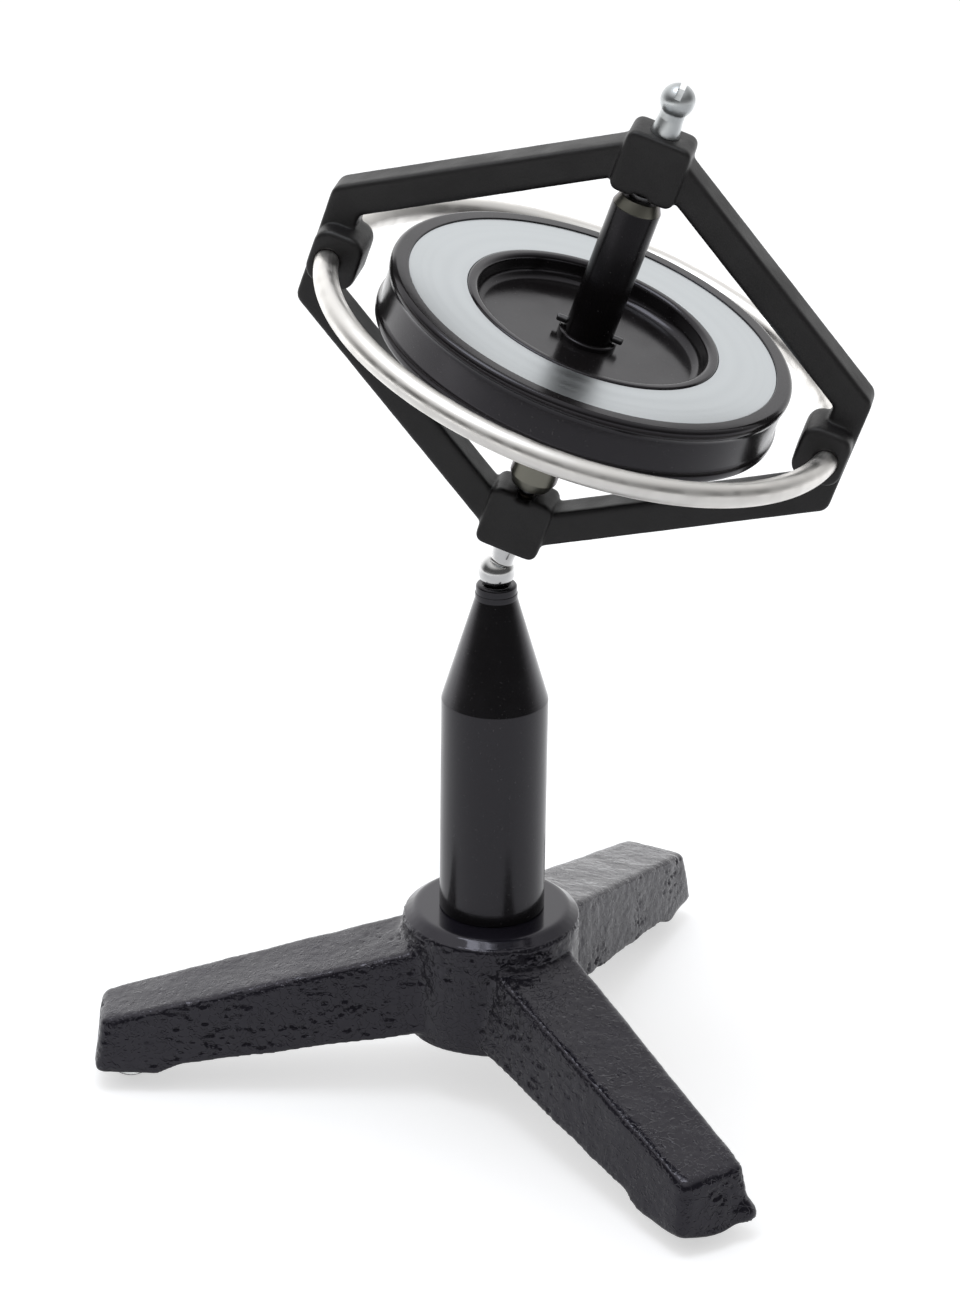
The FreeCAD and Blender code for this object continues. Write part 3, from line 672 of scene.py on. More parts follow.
def pin_holes(tree, coordinates):
    """Small holes scattered in patches, as a height below 0."""
    flatten = tree.nodes.new("ShaderNodeMapping")
    flatten.inputs["Scale"].default_value = (1, 1, PIT_FLATNESS)
    cells = tree.nodes.new("ShaderNodeTexVoronoi")
    cells.inputs["Scale"].default_value = 1 / (PIN_HOLE_SPACING * MM)
    tree.links.new(coordinates, flatten.inputs["Vector"])
    tree.links.new(flatten.outputs["Vector"], cells.inputs["Vector"])
    holes = remapped(tree, cells.outputs["Distance"], *PIN_HOLE_EDGE, -PIN_HOLE_DEPTH, 0.0)
    chosen = tree.nodes.new("ShaderNodeSeparateColor")
    tree.links.new(cells.outputs["Color"], chosen.inputs["Color"])
    some = remapped(tree, chosen.outputs["Red"], *PIN_HOLE_SHARE, 1.0, 0.0)
    patches = noise_factor(tree, coordinates, PIN_HOLE_PATCH_SIZE, detail=0.0)
    patch = remapped(tree, patches, *PIN_HOLE_PATCH_EDGE, 0.0, 1.0)
    return times(tree, holes, times(tree, some, patch))


def gloss_paint(name, axes, color, roughness, gloss):
    """Smooth gloss black paint with faint turning lines and dust under it."""
    made, tree, shader = material(name, color)
    shader.inputs["Specular Tint"].default_value = VIOLET_SHEEN
    shader.inputs["Specular IOR Level"].default_value = gloss
    coordinates = own_coordinates(tree, axes)
    lines = turning_marks(tree, along(tree, coordinates, "Z"), GLOSS_LINE_PITCH)
    peel = noise_factor(tree, coordinates, GLOSS_PEEL_SIZE)
    height = arithmetic(tree, "ADD", times(tree, lines, GLOSS_LINE_SHARE), peel)
    bumped(tree, shader, height, GLOSS_BUMP)
    clouds = noise_factor(tree, coordinates, GLOSS_CLOUD_SIZE)
    rough_between(tree, shader, clouds, *scaled(ROUGHNESS_SPREAD, roughness))
    dust = noise_factor(tree, coordinates, DUST_SIZE, detail=0.0)
    specks = remapped(tree, dust, *DUST_EDGE, 0.0, 1.0)
    dusty = tuple(channel * DUST_COLOR_TIMES + DUST_COLOR_PLUS for channel in color)
    color_between(tree, shader, specks, color, dusty)
    return made


def satin_paint():
    """Satin black paint over the frame's fine casting."""
    made, tree, shader = material("frame_paint", SATIN_COLORS[0])
    shader.inputs["Specular IOR Level"].default_value = SATIN_GLOSS
    coordinates = own_coordinates(tree, GYROSCOPE)
    bumped(tree, shader, noise_factor(tree, coordinates, SATIN_GRAIN_SIZE), SATIN_BUMP)
    clouds = noise_factor(tree, coordinates, SATIN_CLOUD_SIZE)
    rough_between(tree, shader, clouds, *SATIN_ROUGHNESS)
    color_between(tree, shader, clouds, *SATIN_COLORS)
    return made


def bright_metal(name, color, roughness):
    """Plated metal, slightly wavy and clouded, with fine marks that run round its axis."""
    made, tree, shader = material(name, color, metallic=1.0)
    coordinates = own_coordinates(tree, GYROSCOPE)
    waves = noise_factor(tree, coordinates, PLATING_WAVE_SIZE, detail=0.0)
    bumped(tree, shader, waves, PLATING_BUMP)
    clouds = noise_factor(tree, coordinates, PLATING_CLOUD_SIZE, detail=1.0)
    cloudy = remapped(tree, clouds, *PLATING_CLOUD_EDGE, *scaled(PLATING_SPREAD, roughness))
    marks = turning_marks(tree, axis_distance(tree, coordinates), PLATING_MARK_PITCH)
    streaks = remapped(tree, marks, *NOISE_RANGE, *PLATING_MARK_SPREAD)
    tree.links.new(times(tree, cloudy, streaks), shader.inputs["Roughness"])
    color_between(tree, shader, clouds, color, scaled(color, PLATING_TARNISH))
    return made


def turned_silver():
    """Pale metal faced on a lathe, with faint rings of tool marks about its axis."""
    made, tree, shader = material("face_ring_metal", FACE_RING_COLORS[0], metallic=1.0)
    distance = axis_distance(tree, own_coordinates(tree, GYROSCOPE))
    fine = turning_marks(tree, distance, FACE_RING_FINE_PITCH)
    broad = turning_marks(tree, distance, FACE_RING_BROAD_PITCH)
    rough_between(tree, shader, broad, *FACE_RING_ROUGHNESS)
    color_between(tree, shader, fine, *FACE_RING_COLORS)
    return made


def turned_metal(name, axes, color, roughness):
    """Plain turned metal with lines round its axis."""
    made, tree, shader = material(name, color, metallic=1.0)
    coordinates = own_coordinates(tree, axes)
    lines = turning_marks(tree, axis_distance(tree, coordinates), TURNED_LINE_PITCH)
    bumped(tree, shader, lines, TURNED_BUMP)
    clouds = noise_factor(tree, coordinates, TURNED_CLOUD_SIZE)
    rough_between(tree, shader, clouds, *scaled(ROUGHNESS_SPREAD, roughness))
    color_between(tree, shader, clouds, color, scaled(color, TURNED_SHADE))
    return made


def clear_rubber():
    """Clear soft plastic with a slightly hazy surface."""
    made, tree, shader = material("pad_plastic", PAD_COLOR)
    shader.inputs["Transmission Weight"].default_value = PAD_CLEARNESS
    shader.inputs["IOR"].default_value = PAD_IOR
    haze = noise_factor(tree, own_coordinates(tree, STAND), PAD_HAZE_SIZE)
    rough_between(tree, shader, haze, *PAD_ROUGHNESS)
    bumped(tree, shader, haze, PAD_BUMP)
    return made


# ---- pieces of the stand ----


def leg_point(azimuth, outward, across, level):
    """A point on a leg, by its distance from the column's axis and its offset to the side."""
    turn = Matrix.Rotation(math.radians(azimuth), 3, "Z")
    return turn @ Vector((outward, across, level))


def flash_lines(hub_top):
    """The start, end and height of the mould's flash along each leg's top edge."""
    root_level = hub_top - HUB_ABOVE_LEGS
    lines = []
    for leg, (side, height, share) in LEG_FLASHES.items():
        azimuth = LEG_AZIMUTHS[leg]
        start = leg_point(azimuth, HUB_RADIUS, side * LEG_ROOT_WIDTH / 2, root_level)
        tip = leg_point(azimuth, LEG_REACH, side * LEG_TIP_WIDTH / 2, root_level - LEG_RISE)
        lines.append((start, start.lerp(tip, share), height))
    return lines


def line_distance(point, start, end):
    """The distance from a point to a line's stretch, and how far along it that is, 0 to 1."""
    whole = end - start
    share = min(1.0, max(0.0, (point - start).dot(whole) / whole.length_squared))
    return (point - start - whole * share).length, share


def refine_near(work, lines, near):
    """Halves the faces within reach of the lines."""
    close = set()
    for vertex in work.verts:
        point = vertex.co / MM
        if any(line_distance(point, start, end)[0] < near for start, end, _ in lines):
            close.add(vertex)
    edges = [edge for edge in work.edges if edge.verts[0] in close and edge.verts[1] in close]
    bmesh.ops.subdivide_edges(work, edges=edges, cuts=1, use_grid_fill=True)


def flash_height(point, lines):
    """How far the flash stands out at a point."""
    total = 0.0
    place = point / FLASH_WANDER_SIZE
    broken = smoothstep(*FLASH_BREAK_EDGE, noise.noise(point / FLASH_BREAK_SIZE))
    for start, end, height in lines:
        wander = Vector((noise.noise(place), noise.noise(place + start), 0)) * FLASH_WANDER
        distance, share = line_distance(point + wander, start, end)
        ends = smoothstep(0.0, FLASH_ENDS[0], share) * smoothstep(1.0, FLASH_ENDS[1], share)
        total += height * ends * broken * math.exp(-((distance / FLASH_HALF_WIDTH) ** 2))
    return total


def pit_depth(point, normal):
    """How deep the casting's pits are: small, wider than tall, in patches, most on the left leg."""
    warp = noise.noise_vector(point / PIT_SPACING) * PIT_WARP
    flattened = Vector((point.x, point.y, point.z * PIT_FLATNESS)) / PIT_SPACING + warp
    distances, places = noise.voronoi(flattened)
    if noise.cell(places[0] * PIT_SHARE_DRAW + Vector((0.5, 0.5, 0.5))) >= PIT_SHARE:
        return 0.0
    on_side = smoothstep(*PITTED_SIDES, abs(normal.z))
    on_right = smoothstep(0.0, PIT_RIGHT_REACH, point.x)
    fewer = PIT_FEWER_ON_TOP * (1 - on_side) + PIT_FEWER_ON_RIGHT * on_right
    patch = smoothstep(*PIT_PATCH_EDGE, noise.noise(point / PIT_FIELD_SIZE) - fewer)
    draw = noise.cell(places[0] * PIT_SIZE_DRAW)
    size = PIT_REACH * (PIT_LEAST_SIZE + PIT_SIZE_SPREAD * draw)
    return PIT_DEPTH * patch * smoothstep(size, size * PIT_FLOOR_SHARE, distances[0])


def side_folds(point, normal):
    """Long shallow folds that run level along the casting's sides."""
    level = Vector((point.x, point.y, point.z * FOLD_FLATNESS)) / FOLD_SIZE
    return FOLD_DEPTH * smoothstep(*FOLDED_SIDES, abs(normal.z)) * noise.noise(level)


def toe_tops(work, hub_top):
    """The points round the upper front edge of each leg's toe."""
    low = hub_top - HUB_ABOVE_LEGS - LEG_RISE - TOE_LENGTH
    near = LEG_REACH - TOE_LENGTH
    return [v for v in work.verts if v.co.z > low * MM and v.co.xy.length > near * MM]


def front_toe():
    """The front leg's toe sags round its pad, and a burr stands out at one lower corner."""
    low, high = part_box("foot_pad_front")
    pad = (low + high).xy / 2 / MM
    burr_level = high.z / MM + BURR_HEIGHT
    corner = leg_point(LEG_AZIMUTHS["front"], LEG_REACH, LEG_TIP_WIDTH / 2, burr_level)

    def offset(point, normal):
        away = (point.xy - pad).length
        sag = TOE_SAG * smoothstep(TOE_SAG_REACH, TOE_SAG_CORE, away)
        sag *= smoothstep(*SAGGING_UNDERSIDE, normal.z)
        nearness = max(0.0, 1 - (point - corner).length / BURR_REACH)
        outward = smoothstep(*BURRED_SIDES, normal.z)
        return sag + BURR_DEPTH * outward * nearness**BURR_SHARPNESS

    return offset


def cast_offset(machined, lines):
    """How far the cast skin lies off the plain shape, at points below the machined level."""
    toe = front_toe()

    def offset(point, normal):
        radius = math.hypot(point.x, point.y)
        if point.z > machined - MACHINED_MARGIN and radius < HUB_RADIUS + MACHINED_MARGIN:
            return 0.0
        swell = SWELL_DEPTH * noise.noise(point / SWELL_SIZE)
        ripple = RIPPLE_DEPTH * noise.noise(point / RIPPLE_SIZE)
        under = smoothstep(*RAGGED_UNDERSIDE, normal.z) * smoothstep(*RAGGED_OFF_FLOOR, normal.z)
        ragged = RAGGED_DEPTH * under * noise.noise(point / RAGGED_SIZE)
        skin = PAINT_BUILD + swell + ripple + ragged + side_folds(point, normal)
        bulge = toe(point, normal)
        pits = pit_depth(point, normal) * smoothstep(PITS_UP_TO_BULGE, 0.0, bulge)
        return skin + bulge - pits + flash_height(point, lines)

    return offset


def cast_base():
    hub_top = reach("base_casting", STAND).high
    chamfer_foot = hub_top - HUB_CHAMFER_HEIGHT
    lines = flash_lines(hub_top)
    mesh = skin_of("base_casting", STAND, BASE_VOXEL)
    noise.seed_set(PIT_SEED)
    work = bmesh.new()
    work.from_mesh(mesh)
    rough_top = chamfer_foot - ROUGH_BELOW_CHAMFER
    rough = [vertex for vertex in work.verts if vertex.co.z / MM < rough_top]
    soften(work, work.verts, EVEN_SOFTENING)
    soften(work, rough, BASE_SOFTENING)
    soften(work, toe_tops(work, hub_top), TOE_SOFTENING)
    refine_near(work, lines, FLASH_REFINE_REACH)
    push_skin(work, cast_offset(chamfer_foot, lines))
    work.to_mesh(mesh)
    work.free()
    mesh.shade_smooth()
    piece = new_piece("cast_base", mesh, STAND, cast_paint(chamfer_foot))
    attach(piece, "stand")
    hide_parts("base_casting")


def column():
    size = reach("column", STAND)
    cone_top = size.high - LAND_LENGTH
    screw_hole_top = size.low + SCREW_HOLE_DEPTH
    corners = [
        (0, screw_hole_top),
        (SCREW_HOLE_RADIUS, screw_hole_top),
        (SCREW_HOLE_RADIUS, size.low),
        (size.outer, size.low, COLUMN_FOOT_ROUND),
        (size.outer, cone_top - CONE_LENGTH, COLUMN_SHOULDER_ROUND),
        (CONE_TOP_RADIUS, cone_top, COLUMN_EDGE_ROUND),
        (CONE_TOP_RADIUS, size.high, COLUMN_EDGE_ROUND),
        (STEM_HOLE_RADIUS, size.high),
        (STEM_HOLE_RADIUS, size.high - STEM_HOLE_DEPTH),
        (0, size.high - STEM_HOLE_DEPTH),
    ]
    finish = gloss_paint("column_paint", STAND, *COLUMN_PAINT)
    piece = turned("turned_column", outline(corners), STAND, finish)
    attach(piece, "stand")
    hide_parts("column")


def cup():
    size = reach("pivot_cup", STAND)
    land = size.high - CUP_LIP_HEIGHT
    corners = [
        (0, size.low),
        (CUP_STEM_RADIUS, size.low, SMALL_EDGE),
        (CUP_STEM_RADIUS, land),
        (size.outer, land),
        (size.outer, size.high, CUP_LIP_ROUND),
        (CUP_MOUTH_RADIUS, size.high, CUP_MOUTH_ROUND),
        (0, size.high - CUP_SEAT_DEPTH),
    ]
    finish = gloss_paint("cup_paint", STAND, *CUP_PAINT)
    piece = turned("turned_cup", outline(corners), STAND, finish, SMALL_SEGMENTS)
    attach(piece, "stand")
    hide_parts("pivot_cup")


def foot_pad(leg, finish):
    node = "foot_pad_" + leg
    low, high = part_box(node)
    middle = (low + high) / 2
    radius = (high.x - low.x) / 2 / MM
    height = (high.z - low.z) / MM
    run = radius - PAD_FLAT_RADIUS
    dome = (run**2 + height**2) / (2 * run)
    full_turn = math.degrees(math.asin(height / dome))
    side = arc((radius - dome, height), dome, -full_turn, 0.0, PAD_STEPS)
    points = [(0, 0)] + side + [(0, height)]
    place = Matrix.Translation((middle.x, middle.y, low.z))
    piece = turned("clear_pad_" + leg, points, place, finish, SMALL_SEGMENTS)
    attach(piece, "stand")
    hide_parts(node)


# ---- pieces of the pivot ----


def stud_side(ball_radius, fillet):
    """The fillet's arc between a ball at the origin and the neck below it, from the ball on."""
    centre_radius = STUD_NECK_RADIUS + fillet
    centre_level = -math.sqrt((ball_radius + fillet) ** 2 - centre_radius**2)
    start = math.degrees(math.atan2(-centre_level, -centre_radius))
    return arc((centre_radius, centre_level), fillet, start, 180.0, CORNER_STEPS)


def stud_foot(ball_radius, shoulder, end):
    """The neck, the flared root down to its shoulder, and the shank down to its end."""
    joint_level = -math.sqrt(ball_radius**2 - STUD_NECK_RADIUS**2)
    return [
        (STUD_NECK_RADIUS, joint_level - STUD_NECK_LENGTH, STUD_ROOT_ROUND),
        (STUD_ROOT_RADIUS, shoulder, SMALL_EDGE),
        (STUD_NECK_RADIUS, shoulder),
        (STUD_NECK_RADIUS, end, SMALL_EDGE),
        (0, end),
    ]


LOWER_BALL_RADIUS = (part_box("lower_ball")[1].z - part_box("lower_ball")[0].z) / 2 / MM
LOWER_BALL_CENTRE = Matrix.Translation(joint("nutation")["pos_m"])


def upper_stud(finish):
    size = reach("upper_stud", GYROSCOPE)
    ball_level = size.high - UPPER_BALL_RADIUS
    side = stud_side(UPPER_BALL_RADIUS, STUD_NECK_FILLET)
    tangent = math.degrees(math.atan2(side[0][1], side[0][0]))
    ball = arc((0, 0), UPPER_BALL_RADIUS, 90.0, tangent, BALL_STEPS)
    foot = stud_foot(UPPER_BALL_RADIUS, -BLOCK_TO_BALL, size.low - ball_level)
    points = outline(ball[:-1] + side + foot)
    place = GYROSCOPE @ Matrix.Translation((0, 0, ball_level * MM))
    piece = turned("top_stud", points, place, finish, SMALL_SEGMENTS)
    cut_slot(piece, place)
    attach(piece, "frame")
    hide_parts("upper_stud")


def cut_slot(piece, place):
    """Cuts the string slot across the top of the ball whose centre and axis the place gives."""
    slot_floor = UPPER_BALL_RADIUS - STRING_SLOT_DEPTH
    work = bmesh.new()
    bmesh.ops.create_cube(work, size=1.0)
    size = Matrix.Diagonal((STRING_SLOT_WIDTH, 4 * UPPER_BALL_RADIUS, 2 * UPPER_BALL_RADIUS, 1))
    rise = Matrix.Translation((0, 0, slot_floor + UPPER_BALL_RADIUS))
    shape = place @ Matrix.Scale(MM, 4) @ rise @ size
    bmesh.ops.transform(work, matrix=shape, verts=work.verts)
    mesh = mesh_from("slot cutter", work)
    cutter = linked("slot cutter", mesh)
    cut = piece.modifiers.new("slot", "BOOLEAN")
    cut.operation = "DIFFERENCE"
    cut.solver = "EXACT"
    cut.object = cutter
    bpy.context.view_layer.update()
    evaluated = piece.evaluated_get(bpy.context.evaluated_depsgraph_get())
    slotted = bpy.data.meshes.new_from_object(evaluated)
    piece.modifiers.remove(cut)
    bpy.data.objects.remove(cutter)
    bpy.data.meshes.remove(mesh)
    piece.data = slotted
    finish_mesh(slotted)


def lower_ball(finish):
    ball = arc((0, 0), LOWER_BALL_RADIUS, 90.0, -90.0, 2 * BALL_STEPS)
    piece = turned("pivot_ball_polished", ball, LOWER_BALL_CENTRE, finish, SMALL_SEGMENTS)
    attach(piece, "pivot_ball")
    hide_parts("lower_ball")


def lower_stud(finish):
    """The stud, drawn under a ball at the origin and then turned over onto the lower ball."""
    size = reach("lower_stud", GYROSCOPE)
    ball_level = (GYROSCOPE.inverted() @ LOWER_BALL_CENTRE.translation).z / MM
    seat_radius = LOWER_BALL_RADIUS + RUNNING_FIT
    side = stud_side(seat_radius, STUD_NECK_FILLET)
    tangent = math.degrees(math.atan2(side[0][1], side[0][0]))
    seat = arc((0, 0), seat_radius, -90.0, tangent, BALL_STEPS)
    shoulder = RUNNING_FIT * 2 - BLOCK_TO_BALL
    foot = stud_foot(LOWER_BALL_RADIUS, shoulder, ball_level - size.high)
    points = outline(seat[:-1] + side + foot)
    turn_over = Matrix.Rotation(math.pi, 4, "X")
    place = GYROSCOPE @ Matrix.Translation((0, 0, ball_level * MM)) @ turn_over
    piece = turned("lower_stud_polished", points, place, finish, SMALL_SEGMENTS)
    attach(piece, "pivot_stud")
    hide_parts("lower_stud")


# ---- pieces of the frame ----


def frame_offset(point, normal):
    swell = FRAME_SWELL_DEPTH * noise.noise(point / FRAME_SWELL_SIZE)
    return FRAME_PAINT_BUILD + swell + FRAME_GRAIN_DEPTH * noise.noise(point / FRAME_GRAIN_SIZE)


def cast_frame():
    mesh = skin_of("frame_casting", GYROSCOPE, FRAME_VOXEL)
    work = bmesh.new()
    work.from_mesh(mesh)
    soften(work, work.verts, FRAME_SOFTENING)
    push_skin(work, frame_offset)
    work.to_mesh(mesh)
    work.free()
    mesh.shade_smooth()
    piece = new_piece("cast_frame", mesh, GYROSCOPE, satin_paint())
    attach(piece, "frame")
    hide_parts("frame_casting")


def ring_half(node, name, finish):
    """Half of the guard ring, drawn at the back and turned to the side its node is on."""
    size = reach(node, GYROSCOPE)
    tube = (size.high - size.low) / 2
    radius = size.outer - tube
    level = (size.high + size.low) / 2
    own = GYROSCOPE.inverted()
    depth = [(own @ vertex.co).y / MM for vertex in frame["nodes"][node].data.vertices]
    gap = min(abs(y) for y in depth)
    side = 1 if sum(depth) > 0 else -1
    end_angle = math.asin(gap / radius)
    work = bmesh.new()
    rings = []
    for step in range(RING_STEPS + 1):
        angle = end_angle + (math.pi - 2 * end_angle) * step / RING_STEPS
        ring = []
        for index in range(RING_SIDES):
            around = 2 * math.pi * index / RING_SIDES
            distance = radius + tube * math.cos(around)
            x = distance * math.cos(angle)
            y = side * distance * math.sin(angle)
            z = level + tube * math.sin(around)
            ring.append(work.verts.new((x * MM, y * MM, z * MM)))
        rings.append(ring)
    for first, second in zip(rings, rings[1:]):
        join_rings(work, first, second)
    work.faces.new(rings[0])
    work.faces.new(rings[-1])
    mesh = mesh_from(name, work)
    finish_mesh(mesh)
    piece = new_piece(name, mesh, GYROSCOPE, finish)
    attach(piece, "frame")
    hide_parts(node)


# ---- pieces of the flywheel ----


def mirrored_outline(half):
    """A closed outline from its upper half, given from the bore outwards."""
    other_half = [(corner[0], -corner[1], *corner[2:]) for corner in reversed(half)]
    return outline(half + other_half)


def wheel(finish):
    size = reach("flywheel", GYROSCOPE)
    ring = reach("face_ring_upper", GYROSCOPE)
    ridge_radius = ring.inner - RIDGE_WIDTH
    waist = size.outer - WHEEL_WAIST_DEPTH
    lip_foot = size.high - WHEEL_LIP_HEIGHT
    half = [
        (size.inner, WEB_HALF),
        (ridge_radius, WEB_HALF, RECESS_FILLET),
        (ridge_radius, size.high, RIDGE_INNER_ROUND),
        (ring.inner, size.high, RIDGE_OUTER_ROUND),
        (ring.inner, ring.low),
        (ring.outer, ring.low),
        (ring.outer, size.high, SMALL_EDGE),
        (size.outer, size.high, WHEEL_LIP_ROUND),
        (size.outer, lip_foot, LIP_FOOT_ROUND),
        (waist, lip_foot - WHEEL_WAIST_DEPTH, WAIST_ROUND),
    ]
    piece = turned("painted_wheel", mirrored_outline(half), GYROSCOPE, finish)
    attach(piece, "wheel")
    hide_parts("flywheel")


def face_ring(end, finish):
    node = "face_ring_" + end
    size = reach(node, GYROSCOPE)
    corners = [
        (size.inner, size.low, SMALL_EDGE),
        (size.outer, size.low, SMALL_EDGE),
        (size.outer, size.high, SMALL_EDGE),
        (size.inner, size.high, SMALL_EDGE),
    ]
    piece = turned("faced_ring_" + end, outline(corners), GYROSCOPE, finish)
    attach(piece, "wheel")
    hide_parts(node)


def at_end(end):
    """Places what is drawn for the upper end, at either end."""
    if end == "upper":
        return GYROSCOPE
    return GYROSCOPE @ Matrix.Rotation(math.pi, 4, "X")


def bare_end(finish, start):
    """Leaves the metal of a painted piece bare from this level outwards along the axis."""
    tree = finish.node_tree
    shader = tree.nodes["Principled BSDF"]
    level = along(tree, own_coordinates(tree, GYROSCOPE), "Z")
    outwards = arithmetic(tree, "ABSOLUTE", level, 0.0)
    bare = remapped(tree, outwards, start * MM, (start + BARE_EDGE) * MM, 0.0, 1.0)
    color = tree.nodes.new("ShaderNodeMix")
    color.data_type = "RGBA"
    color.inputs["B"].default_value = BARE_METAL
    tree.links.new(bare, color.inputs["Factor"])
    tree.links.new(shader.inputs["Base Color"].links[0].from_socket, color.inputs["A"])
    tree.links.new(color.outputs["Result"], shader.inputs["Base Color"])
    tree.links.new(bare, shader.inputs["Metallic"])
    rough = times(tree, bare, BARE_ROUGHNESS)
    painted = shader.inputs["Roughness"].links[0].from_socket
    tree.links.new(arithmetic(tree, "MAXIMUM", painted, rough), shader.inputs["Roughness"])
    return finish


def sleeve(end):
    node = "sleeve_" + end
    place = at_end(end)
    size = reach(node, place)
    tip_foot = size.high - SLEEVE_TIP_LENGTH
    corners = [
        (size.inner, size.low),
        (size.outer, size.low),
        (size.outer, tip_foot, SLEEVE_EDGE_ROUND),
        (SLEEVE_TIP_RADIUS, size.high, SMALL_EDGE),
        (size.inner, size.high, SMALL_EDGE),
    ]
    paint = gloss_paint("sleeve_paint_" + end, GYROSCOPE, *SLEEVE_PAINT)
    finish = bare_end(paint, size.high - SLEEVE_BARE_LENGTHS[end])
    piece = turned("painted_sleeve_" + end, outline(corners), place, finish, SMALL_SEGMENTS)
    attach(piece, "wheel")
    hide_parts(node)


def collar(end, finish):
    node = "collar_" + end
    place = at_end(end)
    size = reach(node, place)
    corners = [
        (size.inner, size.low),
        (size.outer, size.low),
        (size.outer, size.high, COLLAR_ROUND),
        (size.inner, size.high, SMALL_EDGE),
    ]
    piece = turned("painted_collar_" + end, outline(corners), place, finish, SMALL_SEGMENTS)
    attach(piece, "wheel")
    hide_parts(node)


# ---- nodes that keep their shape ----


def refinish(node, finish):
    """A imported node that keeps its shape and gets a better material."""
    kept = frame["nodes"][node]
    kept.data.materials.clear()
    kept.data.materials.append(finish)


# ---- studio set ----


def floor():
    """A pale round floor that fades into the backdrop's white."""
    work = bmesh.new()
    bmesh.ops.create_circle(work, cap_ends=True, segments=FLOOR_SEGMENTS, radius=FLOOR_RADIUS * MM)
    piece = linked("floor", mesh_from("floor", work))
    piece.location.z = -FLOOR_DROP * MM
    piece.data.materials.append(floor_material())


def floor_material():
    """White card that keeps shadows, lifted to the backdrop's white for the camera."""
    made = bpy.data.materials.new("floor_card")
    made.use_nodes = True
    tree = made.node_tree
    tree.nodes.remove(tree.nodes["Principled BSDF"])
    card = tree.nodes.new("ShaderNodeBsdfDiffuse")
    card.inputs["Color"].default_value = (*FLOOR_COLOR, 1)
    lift = tree.nodes.new("ShaderNodeEmission")
    tree.links.new(floor_lift(tree), lift.inputs["Strength"])
    both = tree.nodes.new("ShaderNodeAddShader")
    clear = tree.nodes.new("ShaderNodeBsdfTransparent")
    fade = tree.nodes.new("ShaderNodeMixShader")
    tree.links.new(card.outputs["BSDF"], both.inputs[0])
    tree.links.new(lift.outputs["Emission"], both.inputs[1])
    distance = axis_distance(tree, own_coordinates(tree, STAND))
    faded = remapped(tree, distance, *scaled(FLOOR_FADE, FLOOR_RADIUS * MM), 0.0, 1.0)
    tree.links.new(faded, fade.inputs["Fac"])
    tree.links.new(both.outputs["Shader"], fade.inputs[1])
    tree.links.new(clear.outputs["BSDF"], fade.inputs[2])
    tree.links.new(fade.outputs["Shader"], tree.nodes["Material Output"].inputs["Surface"])
    return made


def floor_lift(tree):
    """The white that the floor adds for the camera, and in gloss, where more is from the back."""
    path = tree.nodes.new("ShaderNodeLightPath")
    glossy = path.outputs["Is Glossy Ray"]
    through = arithmetic(tree, "MAXIMUM", glossy, path.outputs["Is Transmission Ray"])
    place = tree.nodes.new("ShaderNodeNewGeometry").outputs["Position"]
    gloss_reach = scaled(FLOOR_GLOSS_REACH, MM)
    in_gloss = remapped(tree, along(tree, place, "Y"), *gloss_reach, *FLOOR_GLOSS_LIFTS)
    for_camera = times(tree, path.outputs["Is Camera Ray"], FLOOR_LIFT)
    return arithmetic(tree, "ADD", for_camera, times(tree, through, in_gloss))


def world():
    """A white room, dark on the camera's side between the floor and the lights overhead."""
    made = bpy.data.worlds.new("studio")
    bpy.context.scene.world = made
    made.use_nodes = True
    tree = made.node_tree
    backdrop = tree.nodes["Background"]
    backdrop.inputs["Color"].default_value = (1, 1, 1, 1)
    direction = tree.nodes.new("ShaderNodeTexCoord").outputs["Generated"]
    height = along(tree, direction, "Z")
    above = remapped(tree, height, *DARK_HORIZON, 0.0, 1.0)
    below = remapped(tree, height, *DARK_CEILING, 1.0, 0.0)
    in_front = remapped(tree, along(tree, direction, "Y"), *DARK_FRONT, 1.0, 0.0)
    dark = times(tree, times(tree, above, below), in_front)
    sides = remapped(tree, along(tree, direction, "X"), *SIDE_SPAN, *SIDE_LEVELS)
    dimming = remapped(tree, height, *DIM_ABOVE, 1.0, DIM_LEVEL)
    bright = times(tree, sides, dimming)
    room = tree.nodes.new("ShaderNodeMix")
    room.inputs["B"].default_value = DARK_ROOM
    tree.links.new(dark, room.inputs["Factor"])
    tree.links.new(bright, room.inputs["A"])
    camera_ray = tree.nodes.new("ShaderNodeLightPath").outputs["Is Camera Ray"]
    level = tree.nodes.new("ShaderNodeMix")
    level.inputs["B"].default_value = 1.0
    tree.links.new(camera_ray, level.inputs["Factor"])
    tree.links.new(room.outputs["Result"], level.inputs["A"])
    tree.links.new(level.outputs["Result"], backdrop.inputs["Strength"])


def softbox():
    light = bpy.data.lights.new("overhead_softbox", "AREA")
    light.shape = "SQUARE"
    light.size = SOFTBOX_SIZE * MM
    light.energy = SOFTBOX_POWER
    light.color = SOFTBOX_COLOR
    lamp = linked("overhead_softbox", light)
    lamp.location = Vector(SOFTBOX_PLACE) * MM
    aim = Vector(CAMERA_TARGET) * MM - lamp.location
    lamp.rotation_mode = "QUATERNION"
    lamp.rotation_quaternion = aim.to_track_quat("-Z", "Y")


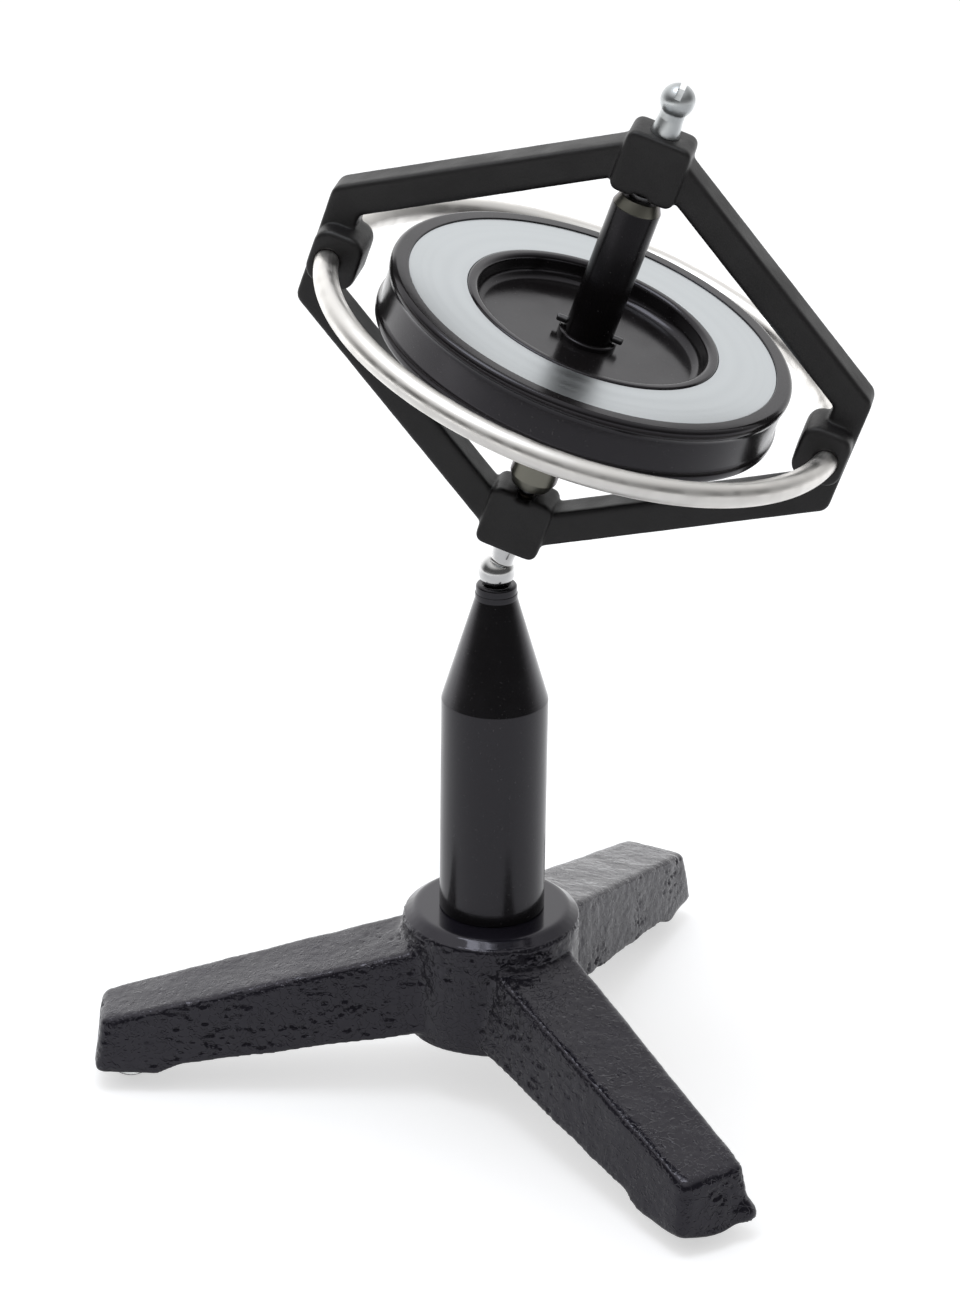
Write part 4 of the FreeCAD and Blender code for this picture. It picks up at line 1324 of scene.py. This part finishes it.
def camera():
    data = bpy.data.cameras.new("camera")
    data.lens = CAMERA_LENS
    data.sensor_width = CAMERA_SENSOR
    data.clip_start = CAMERA_CLIP * MM
    seen_from = linked("camera", data)
    elevation = math.radians(CAMERA_ELEVATION)
    roll = math.radians(CAMERA_ROLL)
    back = Vector((0, -math.cos(elevation), math.sin(elevation)))
    right = Vector((1, 0, 0))
    up = Vector((0, math.sin(elevation), math.cos(elevation)))
    rolled_right = right * math.cos(roll) + up * math.sin(roll)
    rolled_up = up * math.cos(roll) - right * math.sin(roll)
    rotation = Matrix((rolled_right, rolled_up, back)).transposed().to_4x4()
    place = (Vector(CAMERA_TARGET) + back * CAMERA_DISTANCE) * MM
    seen_from.matrix_world = Matrix.Translation(place) @ rotation
    bpy.context.scene.camera = seen_from


# ---- assembly ----


def build_stand():
    cast_base()
    column()
    cup()
    pad_plastic = clear_rubber()
    for leg in LEG_AZIMUTHS:
        foot_pad(leg, pad_plastic)
    ground_steel = turned_metal("ground_steel", STAND, *GROUND_STEEL)
    refinish("column_screw", ground_steel)
    refinish("screw_washer", ground_steel)


def build_gyroscope():
    plating = bright_metal("stud_plating", *STUD_PLATING)
    upper_stud(bright_metal("top_stud_plating", *TOP_STUD_PLATING))
    lower_ball(plating)
    lower_stud(plating)
    cast_frame()
    ring_plating = bright_metal("ring_plating", *RING_PLATING)
    ring_half("ring_front_half", "polished_ring_front", ring_plating)
    ring_half("ring_rear_half", "polished_ring_rear", ring_plating)
    paint = gloss_paint("wheel_paint", GYROSCOPE, *WHEEL_PAINT)
    silver = turned_silver()
    wheel(paint)
    # The bush bronze and the spindle steel carry painted shade for the frame block's shaded groove.
    bronze_with_painted_shade = turned_metal("bush_bronze_painted_shade", GYROSCOPE, *BUSH_BRONZE_PAINTED_SHADE)
    spindle_steel_painted_shade = turned_metal("spindle_steel_painted_shade", GYROSCOPE, *SPINDLE_STEEL_PAINTED_SHADE)
    refinish("spindle", spindle_steel_painted_shade)
    for end in ("upper", "lower"):
        face_ring(end, silver)
        sleeve(end)
        collar(end, paint)
        refinish("cross_pin_" + end, spindle_steel_painted_shade)
        refinish("bearing_" + end, bronze_with_painted_shade)


def main():
    build_stand()
    build_gyroscope()
    floor()
    world()
    softbox()
    camera()
    bpy.context.scene.view_settings.view_transform = "Standard"
    bpy.context.view_layer.update()


main()
